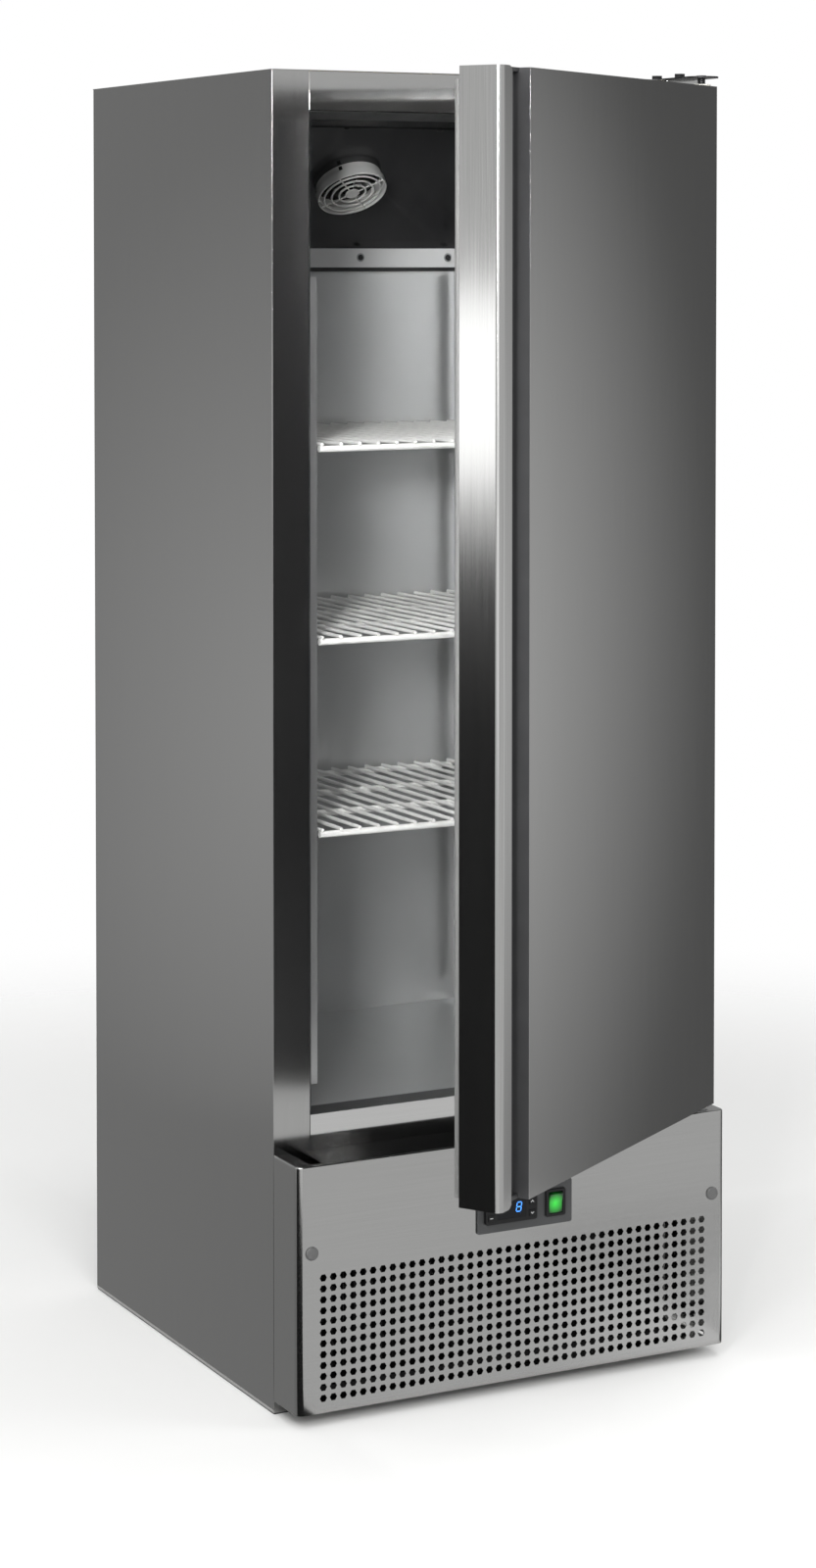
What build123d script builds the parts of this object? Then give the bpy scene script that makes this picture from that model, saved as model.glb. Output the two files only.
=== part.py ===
from build123d import *
import math
import os

# Upright storage freezer: one insulated door hinged on the right, cooling unit in the base.
# Millimetres, +Z up, +Y to the back, +X to the hinge side.
# The origin is on the floor, under the middle of the cabinet body.

# Cabinet body
CABINET_WIDTH = 620.0
CABINET_DEPTH = 580.0
CABINET_HEIGHT = 1670.0
SHEET = 1.0               # steel of the outer panels
PANEL_FOOT_GAP = 2.0      # side panels stop this far above the floor
SIDE_WALL = 82.0          # outer face to the liner's inner face
BACK_WALL = 52.0
TOP_WALL = 58.0
STORAGE_FLOOR = 364.0     # height of the storage compartment's floor
FLOOR_INSULATION = 62.0
LINER_SHEET = 1.0
STILE_WIDTH = 51.0        # front fold of each side panel
HEADER_HEIGHT = 51.5
SILL_TOP = 370.0
FRAME_RETURN = 12.0       # depth of the folds round the door opening
REAR_FLANGE = 18.0
BREAKER_DEPTH = 62.0      # plastic strip from the steel frame to the liner
BREAKER_SETBACK = 2.0
BASE_SHEET = 1.5
BASE_FLANGE = 25.0

# Rear guard over the cooling unit
GUARD_SLOT_WIDTH = 150.0
GUARD_SLOT_HEIGHT = 6.0
GUARD_SLOT_PITCH = 18.0
GUARD_SLOT_ROWS = 10
GUARD_SLOT_OFFSET = 100.0
GUARD_SLOT_START = 70.0

# Shelves and their supports
SHELF_HEIGHTS = (708.0, 952.5, 1197.0)
SHELF_BAR_RADIUS = 4.2
SHELF_WIRE_RADIUS = 2.5
SHELF_WELD = 1.0          # how far a wire sinks into the bars under it
SHELF_WIRE_COUNT = 17
SHELF_CROSS_BARS = 4
SHELF_FRONT_SETBACK = 60.0
SHELF_BACK_GAP = 10.0
SHELF_SIDE_GAP = 3.0
UPRIGHT_THICKNESS = 10.0
UPRIGHT_WIDTH = 25.0
UPRIGHT_SHEET = 1.5
UPRIGHT_BOTTOM = 391.0
UPRIGHT_TOP = 1414.0
UPRIGHT_FRONT_SETBACK = 64.0
UPRIGHT_BACK_GAP = 30.0
SLOT_HEIGHT = 3.6
SLOT_WIDTH = 13.0
SLOT_PITCH = 24.45
CLIP_REACH = 12.0
CLIP_WIDTH = 11.0
CLIP_HEIGHT = 8.0
CLIP_TAB = 2.6
CLIP_HOOK = 2.0
SEAT_GAP = 0.2

# Evaporator, its cover and its fan, under the ceiling
COVER_SHEET = 1.2
COVER_SETBACK = 285.0     # front of the cabinet to the top of the slope
COVER_FLANGE = 20.0
COVER_SIDE_GAP = 0.5
COVER_FOOT_HEIGHT = 1453.0
CHANNEL_DEPTH = 14.0
CHANNEL_HEIGHT = 28.0
CHANNEL_LIP = 20.0
COVER_SCREW_PITCH = 140.0
COVER_SCREW_RADIUS = 1.8
COVER_SCREW_HEAD = 4.2
COVER_SCREW_HEAD_HEIGHT = 2.4
COVER_SCREW_CLEARANCE = 0.2
COOLER_FAN_X = -14.0
COOLER_FAN_DOWN_SLOPE = 120.0
GUARD_RADIUS = 48.5
GUARD_COLLAR_RADIUS = 46.0
GUARD_COLLAR_HEIGHT = 10.0
GUARD_HEIGHT = 22.0
GUARD_WALL = 2.4
GUARD_RING_RADII = (20.0, 30.0, 39.4)
GUARD_RING_WIDTH = 2.6
GUARD_RING_DEPTH = 4.0
GUARD_HUB_RADIUS = 11.0
GUARD_SPOKE_WIDTH = 1.8
GUARD_SPOKE_START = 45.0  # degrees from the cabinet's width
COOLER_BLADE_RADIUS = 40.0
COOLER_BLADE_COUNT = 5
COOLER_MOTOR_RADIUS = 19.0
COOLER_MOTOR_LENGTH = 34.0
COOLER_MOTOR_SETBACK = 20.0
COOLER_ARM_WIDTH = 14.0
COOLER_ARM_REACH = 58.0
COOLER_ARM_SHEET = 2.0
COIL_HALF_WIDTH = 186.0
COIL_FRONT_GAP = 155.0    # top of the slope to the coil
COIL_DEPTH = 76.0
COIL_HEIGHT = 84.0
COIL_DROP = 12.0          # ceiling to the top of the fins
COIL_FIN = 0.8
COIL_FIN_COUNT = 32
COIL_PLATE = 1.6
COIL_TUBE_RADIUS = 4.8
COIL_TUBE_COLUMNS = 3
COIL_TUBE_SPACING = 25.0
COIL_ROW_SPACING = 36.0

# Lower front panel with its perforation
KICK_PROJECTION = 68.0
KICK_BOTTOM = 17.5
KICK_TOP = 325.5
KICK_CORNER = 9.0
KICK_SHEET = 1.2
HOLE_COLUMNS = 41
HOLE_ROWS = 12
HOLE_PITCH_X = 13.72
HOLE_PITCH_Z = 13.6
HOLE_CENTRE_Z = 110.5
HOLE_RADIUS = 5.0         # to the points of the hexagon
KICK_SCREW_X = 290.0
KICK_SCREW_Z = 217.5
KICK_SCREW_HEAD = 8.5
KICK_SCREW_HEAD_HEIGHT = 3.0
KICK_SCREW_RADIUS = 2.5
KICK_SCREW_LENGTH = 10.0
KICK_SCREW_CLEARANCE = 0.3
BRACKET_SHEET = 2.0
BRACKET_WIDTH = 24.0
BRACKET_TAB = 18.0

# Controls in the lower front panel
BEZEL_X = 8.5
BEZEL_Z = 238.0
BEZEL_WIDTH = 137.0
BEZEL_HEIGHT = 56.0
BEZEL_THICKNESS = 3.0
BEZEL_CORNER = 3.0
CONTROLLER_X = -14.0
CONTROLLER_WIDTH = 74.0
CONTROLLER_HEIGHT = 32.0
CONTROLLER_FACE = 6.0
CONTROLLER_BODY_INSET = 1.5
CONTROLLER_BODY_DEPTH = 60.0
CUTOUT_CLEARANCE = 0.5
WINDOW_WIDTH = 42.0
WINDOW_HEIGHT = 22.0
WINDOW_DEPTH = 2.0
KEY_WIDTH = 9.0
KEY_HEIGHT = 8.0
KEY_DEPTH = 3.2
KEY_PROUD = 0.7
KEY_OFFSET_X = 29.5
KEY_OFFSET_Z = 7.5
KEY_TRAVEL = 0.8
KEY_CLEARANCE = 0.3
KEY_WELL_SPARE = 0.6
SWITCH_X = 52.0
SWITCH_WIDTH = 29.0
SWITCH_HEIGHT = 35.0
SWITCH_FACE = 3.0
SWITCH_BODY_INSET = 3.0
SWITCH_BODY_DEPTH = 24.0
ROCKER_WIDTH = 19.0
ROCKER_HEIGHT = 25.0
ROCKER_TILT = 7.0
ROCKER_PIVOT_DEPTH = 4.0
ROCKER_FRONT = 8.0
ROCKER_BACK = 5.0
ROCKER_DISH = 1.6
ROCKER_SIDE_GAP = 0.3
ROCKER_END_GAP = 1.2

# Door, measured shut
DOOR_REST_ANGLE = 32.7    # how far the door stands open
DOOR_SIDE_GAP = 13.5      # cabinet side to door edge
DOOR_FACE_SETBACK = 1.5   # behind the lower front panel
DOOR_THICKNESS = 55.0
DOOR_BOTTOM_GAP = 6.5     # over the lower front panel
DOOR_TOP_DROP = 10.5      # under the cabinet's top
DOOR_SKIN = 1.0
DOOR_EDGE_RADIUS = 3.5
FACE_WIDTH = 522.0        # hinge edge to the finger groove
GROOVE_MOUTH = 43.0
GROOVE_DEPTH = 26.0
GROOVE_CORNER = 6.0
HANDLE_WALL = 2.0
HANDLE_CORNER = 7.5
LIP_RETURN = 10.0
LIP_END_RADIUS = 9.0
DOOR_CAP = 5.0
CAP_SETBACK = 3.0
CAP_CLEARANCE = 0.5
INNER_PANEL = 2.0
PANEL_RIB = 3.0
PANEL_RIB_HEIGHT = 4.0
GASKET_WIDTH = 18.0
GASKET_FREE_INSET = 8.0
GASKET_HINGE_INSET = 18.0
GASKET_TOP_INSET = 14.0
GASKET_BOTTOM_INSET = 8.0
GASKET_GAP = 0.3

# Hinges
PIVOT_FROM_EDGE = 16.5
PIVOT_FROM_FACE = 16.0
PIN_RADIUS = 5.0
PIN_CLEARANCE = 0.05
PIN_REACH = 20.0
PIN_HEAD_RADIUS = 6.5
PIN_HEAD_HEIGHT = 1.5
BUSH_RADIUS = 8.0
BUSH_FLANGE = 12.0
BUSH_SPARE = 3.0
HINGE_SEAT_GAP = 0.3
TOP_PLATE = 2.0
TOP_PLATE_REACH = 88.0    # back from the cabinet's front edge
TOP_ARM_HALF = 22.0
HINGE_BOLT_RADIUS = 4.0
HINGE_BOLT_ACROSS_FLATS = 13.0
HINGE_BOLT_HEAD = 5.3
HINGE_BOLT_LENGTH = 20.0
HINGE_BOLT_CLEARANCE = 0.2
HINGE_WASHER_RADIUS = 9.5
HINGE_WASHER = 1.2
TOP_BOLT_OFFSET = 4.0      # from the pivot towards the side
TOP_BOLT_SETBACKS = (8.5, 65.0)
ARM_DROP = 3.0            # door's underside to the lower arm
ARM_THICKNESS = 5.0
ARM_WIDTH = 15.0
ARM_NOSE = 8.0
NOTCH_CLEARANCE = 1.5
LOWER_PLATE_WIDTH = 40.0
LOWER_PLATE_HEIGHT = 85.0
LOWER_PLATE_SHEET = 4.0
LOWER_BOLT_DROPS = (40.0, 70.0)

# Cooling unit in the base
COMPRESSOR_X = 160.0
COMPRESSOR_Y = 80.0
COMPRESSOR_RADIUS = 75.0
COMPRESSOR_HEIGHT = 165.0
COMPRESSOR_DOME = 38.0
COMPRESSOR_SEAM = 3.0
COMPRESSOR_FOOT_X = 200.0
COMPRESSOR_FOOT_Y = 130.0
COMPRESSOR_FOOT = 3.0
GROMMET_RADIUS = 11.0
GROMMET_HEIGHT = 20.0
GROMMET_INSET = 14.0
TERMINAL_WIDTH = 60.0
TERMINAL_DEPTH = 28.0
TERMINAL_HEIGHT = 66.0
TERMINAL_SINK = 9.0
CONDENSER_X = -140.0
CONDENSER_SETBACK = 22.0  # behind the cabinet's front
CONDENSER_WIDTH = 220.0
CONDENSER_DEPTH = 52.0
CONDENSER_BOTTOM = 40.0
CONDENSER_HEIGHT = 226.0
CONDENSER_FIN = 0.8
CONDENSER_FIN_COUNT = 27
CONDENSER_TUBE_RADIUS = 4.8
CONDENSER_ROWS = 6
CONDENSER_ROW_PITCH = 36.0
TUBE_OVERHANG = 12.0
SHROUD_SHEET = 1.2
SHROUD_DEPTH = 34.0
SHROUD_OVERLAP = 6.0
CONDENSER_FAN_RADIUS = 92.0
CONDENSER_FAN_GAP = 5.0
CONDENSER_FAN_HUB = 24.0
CONDENSER_BLADE_COUNT = 5
CONDENSER_BLADE_DEPTH = 22.0
CONDENSER_MOTOR_RADIUS = 36.0
CONDENSER_MOTOR_LENGTH = 48.0
MOTOR_GAP = 6.0
MOTOR_STAND_WIDTH = 60.0
MOTOR_STAND_SHEET = 3.0
MOTOR_STAND_FOOT = 40.0
FAN_SHAFT_RADIUS = 3.5
FAN_SHAFT_GRIP = 14.0
FAN_SHAFT_CLEARANCE = 0.05
PIPE_RADIUS = 3.2
CAPILLARY_RADIUS = 1.5
PIPE_BEND = 16.0
DRIER_RADIUS = 10.0
DRIER_LENGTH = 110.0
DRIER_X = 22.0
DRIER_Y = 190.0
DRIER_BOTTOM = 90.0
PAN_WIDTH = 220.0
PAN_DEPTH = 170.0
PAN_HEIGHT = 44.0
PAN_WALL = 2.0
PAN_X = -150.0
PAN_BACK_GAP = 22.0
DRAIN_RADIUS = 8.0
DRAIN_BORE = 6.5
JUNCTION_BOX = (60.0, 120.0, 80.0)
JUNCTION_BOX_Y = -90.0
JUNCTION_BOX_BOTTOM = 190.0
GLAND_X = 230.0
GLAND_Z = 45.0
GLAND_RADIUS = 8.0
GLAND_FLANGE = 12.0
GLAND_FLANGE_DEPTH = 6.0
GLAND_BORE = 4.5
GLAND_LENGTH = 26.0

# Faces that several pieces share
half_width = CABINET_WIDTH / 2
front = -CABINET_DEPTH / 2
back = CABINET_DEPTH / 2
top_under = CABINET_HEIGHT - SHEET
wall_inside = half_width - SHEET
back_inside = back - 2 * SHEET
liner_half = half_width - SIDE_WALL
liner_back = back - BACK_WALL
liner_top = CABINET_HEIGHT - TOP_WALL
unit_top = STORAGE_FLOOR - LINER_SHEET - FLOOR_INSULATION
stile_edge = half_width - STILE_WIDTH
header_bottom = CABINET_HEIGHT - HEADER_HEIGHT
breaker_back = front + BREAKER_DEPTH
kick_front = front - KICK_PROJECTION
kick_inside = kick_front + KICK_SHEET
door_right = half_width - DOOR_SIDE_GAP
door_left = -door_right
door_face = kick_front + DOOR_FACE_SETBACK
door_back = door_face + DOOR_THICKNESS
door_bottom = KICK_TOP + DOOR_BOTTOM_GAP
door_top = CABINET_HEIGHT - DOOR_TOP_DROP
panel_face = door_back - INNER_PANEL
groove_edge = door_right - FACE_WIDTH
groove_floor = door_face + GROOVE_DEPTH
lip_edge = groove_edge - GROOVE_MOUTH
handle_inside = door_left + HANDLE_WALL
pivot_x = door_right - PIVOT_FROM_EDGE
pivot_y = door_face + PIVOT_FROM_FACE
arm_top = door_bottom - ARM_DROP


def block(x, y, z):
    spans = (x, y, z)
    middle = [(low + high) / 2 for low, high in spans]
    return Pos(*middle) * Box(*[high - low for low, high in spans])


def prism(plane, points, depth):
    return extrude(plane * Polygon(*points, align=None), depth, dir=plane.z_dir)


def upwards(sketch, low, high):
    return extrude(Plane.XY.offset(low) * sketch, high - low, dir=(0, 0, 1))


def rod(start, end, radius):
    run = Vector(*end) - Vector(*start)
    return Solid.make_cylinder(radius, run.length, Plane(origin=start, z_dir=run))


def ring(outer, inner, low, high):
    middle = Pos(0, 0, (low + high) / 2)
    return middle * (Cylinder(outer, high - low) - Cylinder(inner, high - low))


def pipe(points, radius, bend):
    path = FilletPolyline(*points, radius=bend)
    return sweep(Plane(origin=path @ 0, z_dir=path % 0) * Circle(radius), path=path)


def between(first, last):
    """The solid with flat faces between two polygons with as many corners."""
    loops = [first, last]
    for corner in range(len(first)):
        after = (corner + 1) % len(first)
        loops.append([first[corner], first[after], last[after], last[corner]])
    return Solid(Shell([Face(Wire.make_polygon(loop)) for loop in loops]))


def rounded(sketch, corners):
    for point, radius in corners:
        corner = sketch.vertices().sort_by_distance(Vector(*point))[0]
        sketch = fillet(corner, radius)
    return sketch


def both_sides(shape):
    return [shape, shape.mirror(Plane.YZ)]


def save(name, *shapes):
    solids = [solid for shape in shapes for solid in shape.solids()]
    export_step(solids[0] if len(solids) == 1 else Compound(solids), f"parts/{name}.step")


def hex_bolt(foot, direction):
    """A bolt with a washer; foot is the seat of the washer, direction points to the head."""
    seat = Plane(origin=foot, z_dir=direction)
    head_radius = HINGE_BOLT_ACROSS_FLATS / math.sqrt(3)
    head = extrude(RegularPolygon(head_radius, 6), HINGE_WASHER + HINGE_BOLT_HEAD)
    washer = Cylinder(HINGE_WASHER_RADIUS, HINGE_WASHER, align=(Align.CENTER, Align.CENTER, Align.MIN))
    shank = Cylinder(HINGE_BOLT_RADIUS, HINGE_BOLT_LENGTH, align=(Align.CENTER, Align.CENTER, Align.MAX))
    return seat.location * (head + washer + shank)


def hex_bolt_hole(foot, direction):
    away = -Vector(*direction) * (HINGE_BOLT_LENGTH + HINGE_BOLT_CLEARANCE)
    start = Vector(*foot) + Vector(*direction)
    return rod(start, Vector(*foot) + away, HINGE_BOLT_RADIUS + HINGE_BOLT_CLEARANCE)


def fan_blades(radius, hub, count, depth, pitch_angle):
    """Hub and blades about the Z axis, from z = 0 to z = depth."""
    rotor = Pos(0, 0, depth / 2) * Cylinder(hub, depth)
    reach = radius - hub / 2
    chord = depth / math.sin(math.radians(pitch_angle)) * 0.86
    for turn in range(count):
        blade = Rot(pitch_angle, 0, 0) * Box(reach, chord, COOLER_ARM_SHEET)
        rotor += Rot(0, 0, turn * 360 / count) * Pos(hub / 2 + reach / 2, 0, depth / 2) * blade
    return rotor & Pos(0, 0, depth / 2) * Cylinder(radius, depth)


# Steel casing
def base_pan():
    tray = block((-wall_inside, wall_inside), (front + SHEET, back_inside), (0, BASE_FLANGE))
    inside = block(
        (-wall_inside + BASE_SHEET, wall_inside - BASE_SHEET),
        (front + SHEET + BASE_SHEET, back_inside - BASE_SHEET),
        (BASE_SHEET, BASE_FLANGE + BASE_SHEET),
    )
    return tray - inside


def side_panel():
    height = (PANEL_FOOT_GAP, top_under)
    panel = block((wall_inside, half_width), (front, back), height)
    panel += block((stile_edge, half_width), (front, front + SHEET), height)
    panel += block(
        (stile_edge, stile_edge + SHEET), (front, front + FRAME_RETURN), (SILL_TOP, header_bottom)
    )
    panel += block((half_width - REAR_FLANGE, half_width), (back - SHEET, back), height)
    return panel


def frame_header():
    across = (-stile_edge, stile_edge)
    face = block(across, (front, front + SHEET), (header_bottom, top_under))
    return face + block(across, (front, front + FRAME_RETURN), (header_bottom, header_bottom + SHEET))


def frame_sill():
    across = (-stile_edge, stile_edge)
    face = block(across, (front, front + SHEET), (unit_top - SHEET, SILL_TOP))
    face += block(across, (front, front + BREAKER_SETBACK), (SILL_TOP - SHEET, SILL_TOP))
    return face + block(
        (-wall_inside, wall_inside), (front + SHEET, back_inside), (unit_top - SHEET, unit_top)
    )


def back_panel():
    across = (-wall_inside, wall_inside)
    return block(across, (back_inside, back - SHEET), (unit_top - SHEET, top_under))


def rear_guard():
    guard = block(
        (-wall_inside, wall_inside), (back_inside, back - SHEET), (PANEL_FOOT_GAP, unit_top - SHEET)
    )
    slot = block(
        (-GUARD_SLOT_WIDTH / 2, GUARD_SLOT_WIDTH / 2),
        (back_inside - SHEET, back),
        (-GUARD_SLOT_HEIGHT / 2, GUARD_SLOT_HEIGHT / 2),
    )
    slots = [
        Pos(side * GUARD_SLOT_OFFSET, 0, GUARD_SLOT_START + row * GUARD_SLOT_PITCH) * slot
        for side in (-1, 1)
        for row in range(GUARD_SLOT_ROWS)
    ]
    gland_hole = rod((GLAND_X, back_inside - SHEET, GLAND_Z), (GLAND_X, back, GLAND_Z), GLAND_RADIUS)
    return guard - slots - gland_hole


# Insulation, liner and breaker strip
def insulation():
    """Five slabs of foam: two sides, roof, floor and back."""
    outer, inner, mouth = wall_inside, liner_half + LINER_SHEET, stile_edge + SHEET
    floor_top = STORAGE_FLOOR - LINER_SHEET
    roof_under = liner_top + LINER_SHEET
    side = Polygon(
        (outer, front + SHEET),
        (mouth, front + SHEET),
        (mouth, breaker_back),
        (inner, breaker_back),
        (inner, back_inside),
        (outer, back_inside),
        align=None,
    )
    right = upwards(side, unit_top, top_under) - top_bolt_holes()
    left = upwards(side.mirror(Plane.YZ), unit_top, top_under)
    roof = block((-inner, inner), (breaker_back, back_inside), (roof_under, top_under))
    roof += block((-mouth, mouth), (front + SHEET, breaker_back), (header_bottom + SHEET, top_under))
    floor = block((-inner, inner), (breaker_back, back_inside), (unit_top, floor_top))
    floor += block((-mouth, mouth), (front + SHEET, breaker_back), (unit_top, floor_top))
    rear = block((-inner, inner), (liner_back + LINER_SHEET, back_inside), (floor_top, roof_under))
    return [left, right, roof - top_bolt_holes(), floor, rear]


def inner_liner():
    outside = liner_half + LINER_SHEET
    shell = block(
        (-outside, outside),
        (breaker_back, liner_back + LINER_SHEET),
        (STORAGE_FLOOR - LINER_SHEET, liner_top + LINER_SHEET),
    )
    shell -= block(
        (-liner_half, liner_half), (breaker_back - LINER_SHEET, liner_back), (STORAGE_FLOOR, liner_top)
    )
    return shell - [flange_screw_hole(x) for x in flange_screw_xs()]


def breaker_strips():
    """Four mitred strips that slope from the steel frame in to the liner."""
    near, far = front + BREAKER_SETBACK, breaker_back
    under = STORAGE_FLOOR - LINER_SHEET

    def strip(corners, seat):
        ends = []
        for side, mouth_z, throat_z in corners:
            mouth_x, throat_x = side * stile_edge, side * liner_half
            slope = [(mouth_x, near, mouth_z), (throat_x, far, throat_z)]
            ends.append(slope + seat(mouth_x, throat_x, mouth_z))
        return between(*ends)

    def frame_seat(mouth_x, throat_x, mouth_z):
        return [(mouth_x, far, mouth_z)]

    def floor_seat(mouth_x, throat_x, mouth_z):
        return [(throat_x, far, under), (mouth_x, near, under)]

    def foot(side):
        return (side, SILL_TOP, STORAGE_FLOOR)

    def head(side):
        return (side, header_bottom, liner_top)

    return [
        strip([foot(1), head(1)], frame_seat),
        strip([head(1), head(-1)], frame_seat),
        strip([head(-1), foot(-1)], frame_seat),
        strip([foot(1), foot(-1)], floor_seat),
    ]


# Shelves
upright_face = liner_half - UPRIGHT_THICKNESS
upright_fronts = (front + UPRIGHT_FRONT_SETBACK, liner_back - UPRIGHT_BACK_GAP - UPRIGHT_WIDTH)
shelf_front = front + SHELF_FRONT_SETBACK
shelf_back = liner_back - SHELF_BACK_GAP
shelf_half = upright_face - SHELF_SIDE_GAP
wire_rise = SHELF_BAR_RADIUS + SHELF_WIRE_RADIUS - SHELF_WELD
outer_wire = shelf_half - SHELF_WIRE_RADIUS


def clip_tops():
    return [height + wire_rise - SHELF_WIRE_RADIUS - SEAT_GAP for height in SHELF_HEIGHTS]


def shelf_upright(front_y):
    channel = block(
        (upright_face, liner_half), (front_y, front_y + UPRIGHT_WIDTH), (UPRIGHT_BOTTOM, UPRIGHT_TOP)
    )
    channel -= block(
        (upright_face + UPRIGHT_SHEET, liner_half),
        (front_y + UPRIGHT_SHEET, front_y + UPRIGHT_WIDTH - UPRIGHT_SHEET),
        (UPRIGHT_BOTTOM, UPRIGHT_TOP),
    )
    middle = front_y + UPRIGHT_WIDTH / 2
    slot = block(
        (upright_face - UPRIGHT_SHEET, upright_face + 2 * UPRIGHT_SHEET),
        (middle - SLOT_WIDTH / 2, middle + SLOT_WIDTH / 2),
        (-SLOT_HEIGHT / 2, SLOT_HEIGHT / 2),
    )
    first = clip_tops()[0] - CLIP_HEIGHT / 2
    below = math.floor((first - UPRIGHT_BOTTOM - SLOT_PITCH / 2) / SLOT_PITCH)
    above = math.floor((UPRIGHT_TOP - first - SLOT_PITCH / 2) / SLOT_PITCH)
    slots = [Pos(0, 0, first + step * SLOT_PITCH) * slot for step in range(-below, above + 1)]
    return channel - slots


def shelf_clip(front_y, clip_top):
    middle = front_y + UPRIGHT_WIDTH / 2
    wide = (middle - CLIP_WIDTH / 2, middle + CLIP_WIDTH / 2)
    body = block((upright_face - CLIP_REACH, upright_face), wide, (clip_top - CLIP_HEIGHT, clip_top))
    slot_z = clip_top - CLIP_HEIGHT / 2
    inner = upright_face + UPRIGHT_SHEET + CLIP_HOOK
    return body + block((upright_face, inner), wide, (slot_z - CLIP_TAB / 2, slot_z + CLIP_TAB / 2))


def wire_shelf(height):
    bar_ys = [
        shelf_front + SHELF_BAR_RADIUS
        + step * (shelf_back - shelf_front - 2 * SHELF_BAR_RADIUS) / (SHELF_CROSS_BARS - 1)
        for step in range(SHELF_CROSS_BARS)
    ]
    bars = [rod((-shelf_half, y, height), (shelf_half, y, height), SHELF_BAR_RADIUS) for y in bar_ys]
    wire_z = height + wire_rise
    wires = [
        rod((x, shelf_front, wire_z), (x, shelf_back, wire_z), SHELF_WIRE_RADIUS)
        for x in [
            -outer_wire + step * 2 * outer_wire / (SHELF_WIRE_COUNT - 1)
            for step in range(SHELF_WIRE_COUNT)
        ]
    ]
    return bars[0].fuse(*bars[1:], *wires)


# Evaporator cover, coil and fan
cover_top_y = front + COVER_SETBACK
cover_foot_y = liner_back - CHANNEL_DEPTH
cover_angle = math.atan2(liner_top - COVER_FOOT_HEIGHT, cover_foot_y - cover_top_y)
cover_half = liner_half - COVER_SIDE_GAP
cover_rise = COVER_SHEET / math.cos(cover_angle)
channel_top = COVER_FOOT_HEIGHT - COVER_SHEET * math.tan(cover_angle)
channel_bottom = channel_top - CHANNEL_HEIGHT
fan_seat_y = cover_top_y + COOLER_FAN_DOWN_SLOPE * math.cos(cover_angle)
fan_seat_z = liner_top - COVER_SHEET - COOLER_FAN_DOWN_SLOPE * math.sin(cover_angle)
fan_seat = Plane(
    origin=(COOLER_FAN_X, fan_seat_y, fan_seat_z),
    x_dir=(1, 0, 0),
    z_dir=(0, -math.sin(cover_angle), -math.cos(cover_angle)),
)


def flange_screw_xs():
    return [-COVER_SCREW_PITCH / 2, COVER_SCREW_PITCH / 2]


def channel_screw_xs():
    return [step * COVER_SCREW_PITCH / 2 for step in (-3, -1, 1, 3)]


def flange_screw_hole(x):
    y = cover_top_y - COVER_FLANGE / 2
    low, high = liner_top - 2 * COVER_SHEET, liner_top + 2 * LINER_SHEET
    return rod((x, y, low), (x, y, high), COVER_SCREW_RADIUS + COVER_SCREW_CLEARANCE)


def evaporator_cover():
    slope_start_y = cover_top_y + (cover_rise - COVER_SHEET) / math.tan(cover_angle)
    foot_y = cover_foot_y + COVER_SHEET
    foot_z = liner_top - COVER_SHEET - (foot_y - cover_top_y) * math.tan(cover_angle)
    sheet = prism(
        Plane.YZ.offset(-cover_half),
        [
            (cover_top_y - COVER_FLANGE, liner_top),
            (cover_top_y - COVER_FLANGE, liner_top - COVER_SHEET),
            (cover_top_y, liner_top - COVER_SHEET),
            (foot_y, foot_z),
            (foot_y, foot_z + cover_rise),
            (slope_start_y, liner_top),
        ],
        2 * cover_half,
    )
    opening = fan_seat.location * Cylinder(GUARD_COLLAR_RADIUS - GUARD_WALL, 8 * COVER_SHEET)
    return sheet - opening - [flange_screw_hole(x) for x in flange_screw_xs()]


def drip_channel():
    across = (-cover_half, cover_half)
    slope_run = cover_foot_y + COVER_SHEET - cover_top_y
    front_wall_top = liner_top - COVER_SHEET - slope_run * math.tan(cover_angle)
    channel = block(across, (cover_foot_y, cover_foot_y + COVER_SHEET), (channel_bottom, front_wall_top))
    channel += block(across, (cover_foot_y, liner_back), (channel_bottom, channel_bottom + COVER_SHEET))
    channel += block(
        across, (liner_back - COVER_SHEET, liner_back), (channel_bottom, channel_bottom + CHANNEL_LIP)
    )
    screw_z = channel_bottom + CHANNEL_HEIGHT / 2
    holes = [
        rod(
            (x, cover_foot_y - COVER_SHEET, screw_z),
            (x, cover_foot_y + 2 * COVER_SHEET, screw_z),
            COVER_SCREW_RADIUS + COVER_SCREW_CLEARANCE,
        )
        for x in channel_screw_xs()
    ]
    return channel - holes


def cover_screws():
    screws = []
    screw_z = channel_bottom + CHANNEL_HEIGHT / 2
    for x in channel_screw_xs():
        head = rod(
            (x, cover_foot_y - COVER_SCREW_HEAD_HEIGHT, screw_z), (x, cover_foot_y, screw_z), COVER_SCREW_HEAD
        )
        shank_end = cover_foot_y + CHANNEL_DEPTH / 2
        screws.append(head + rod((x, cover_foot_y, screw_z), (x, shank_end, screw_z), COVER_SCREW_RADIUS))
    flange_y, flange_z = cover_top_y - COVER_FLANGE / 2, liner_top - COVER_SHEET
    for x in flange_screw_xs():
        head_face = flange_z - COVER_SCREW_HEAD_HEIGHT
        head = rod((x, flange_y, head_face), (x, flange_y, flange_z), COVER_SCREW_HEAD)
        shank_end = liner_top + LINER_SHEET
        screws.append(head + rod((x, flange_y, flange_z), (x, flange_y, shank_end), COVER_SCREW_RADIUS))
    return screws


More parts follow.
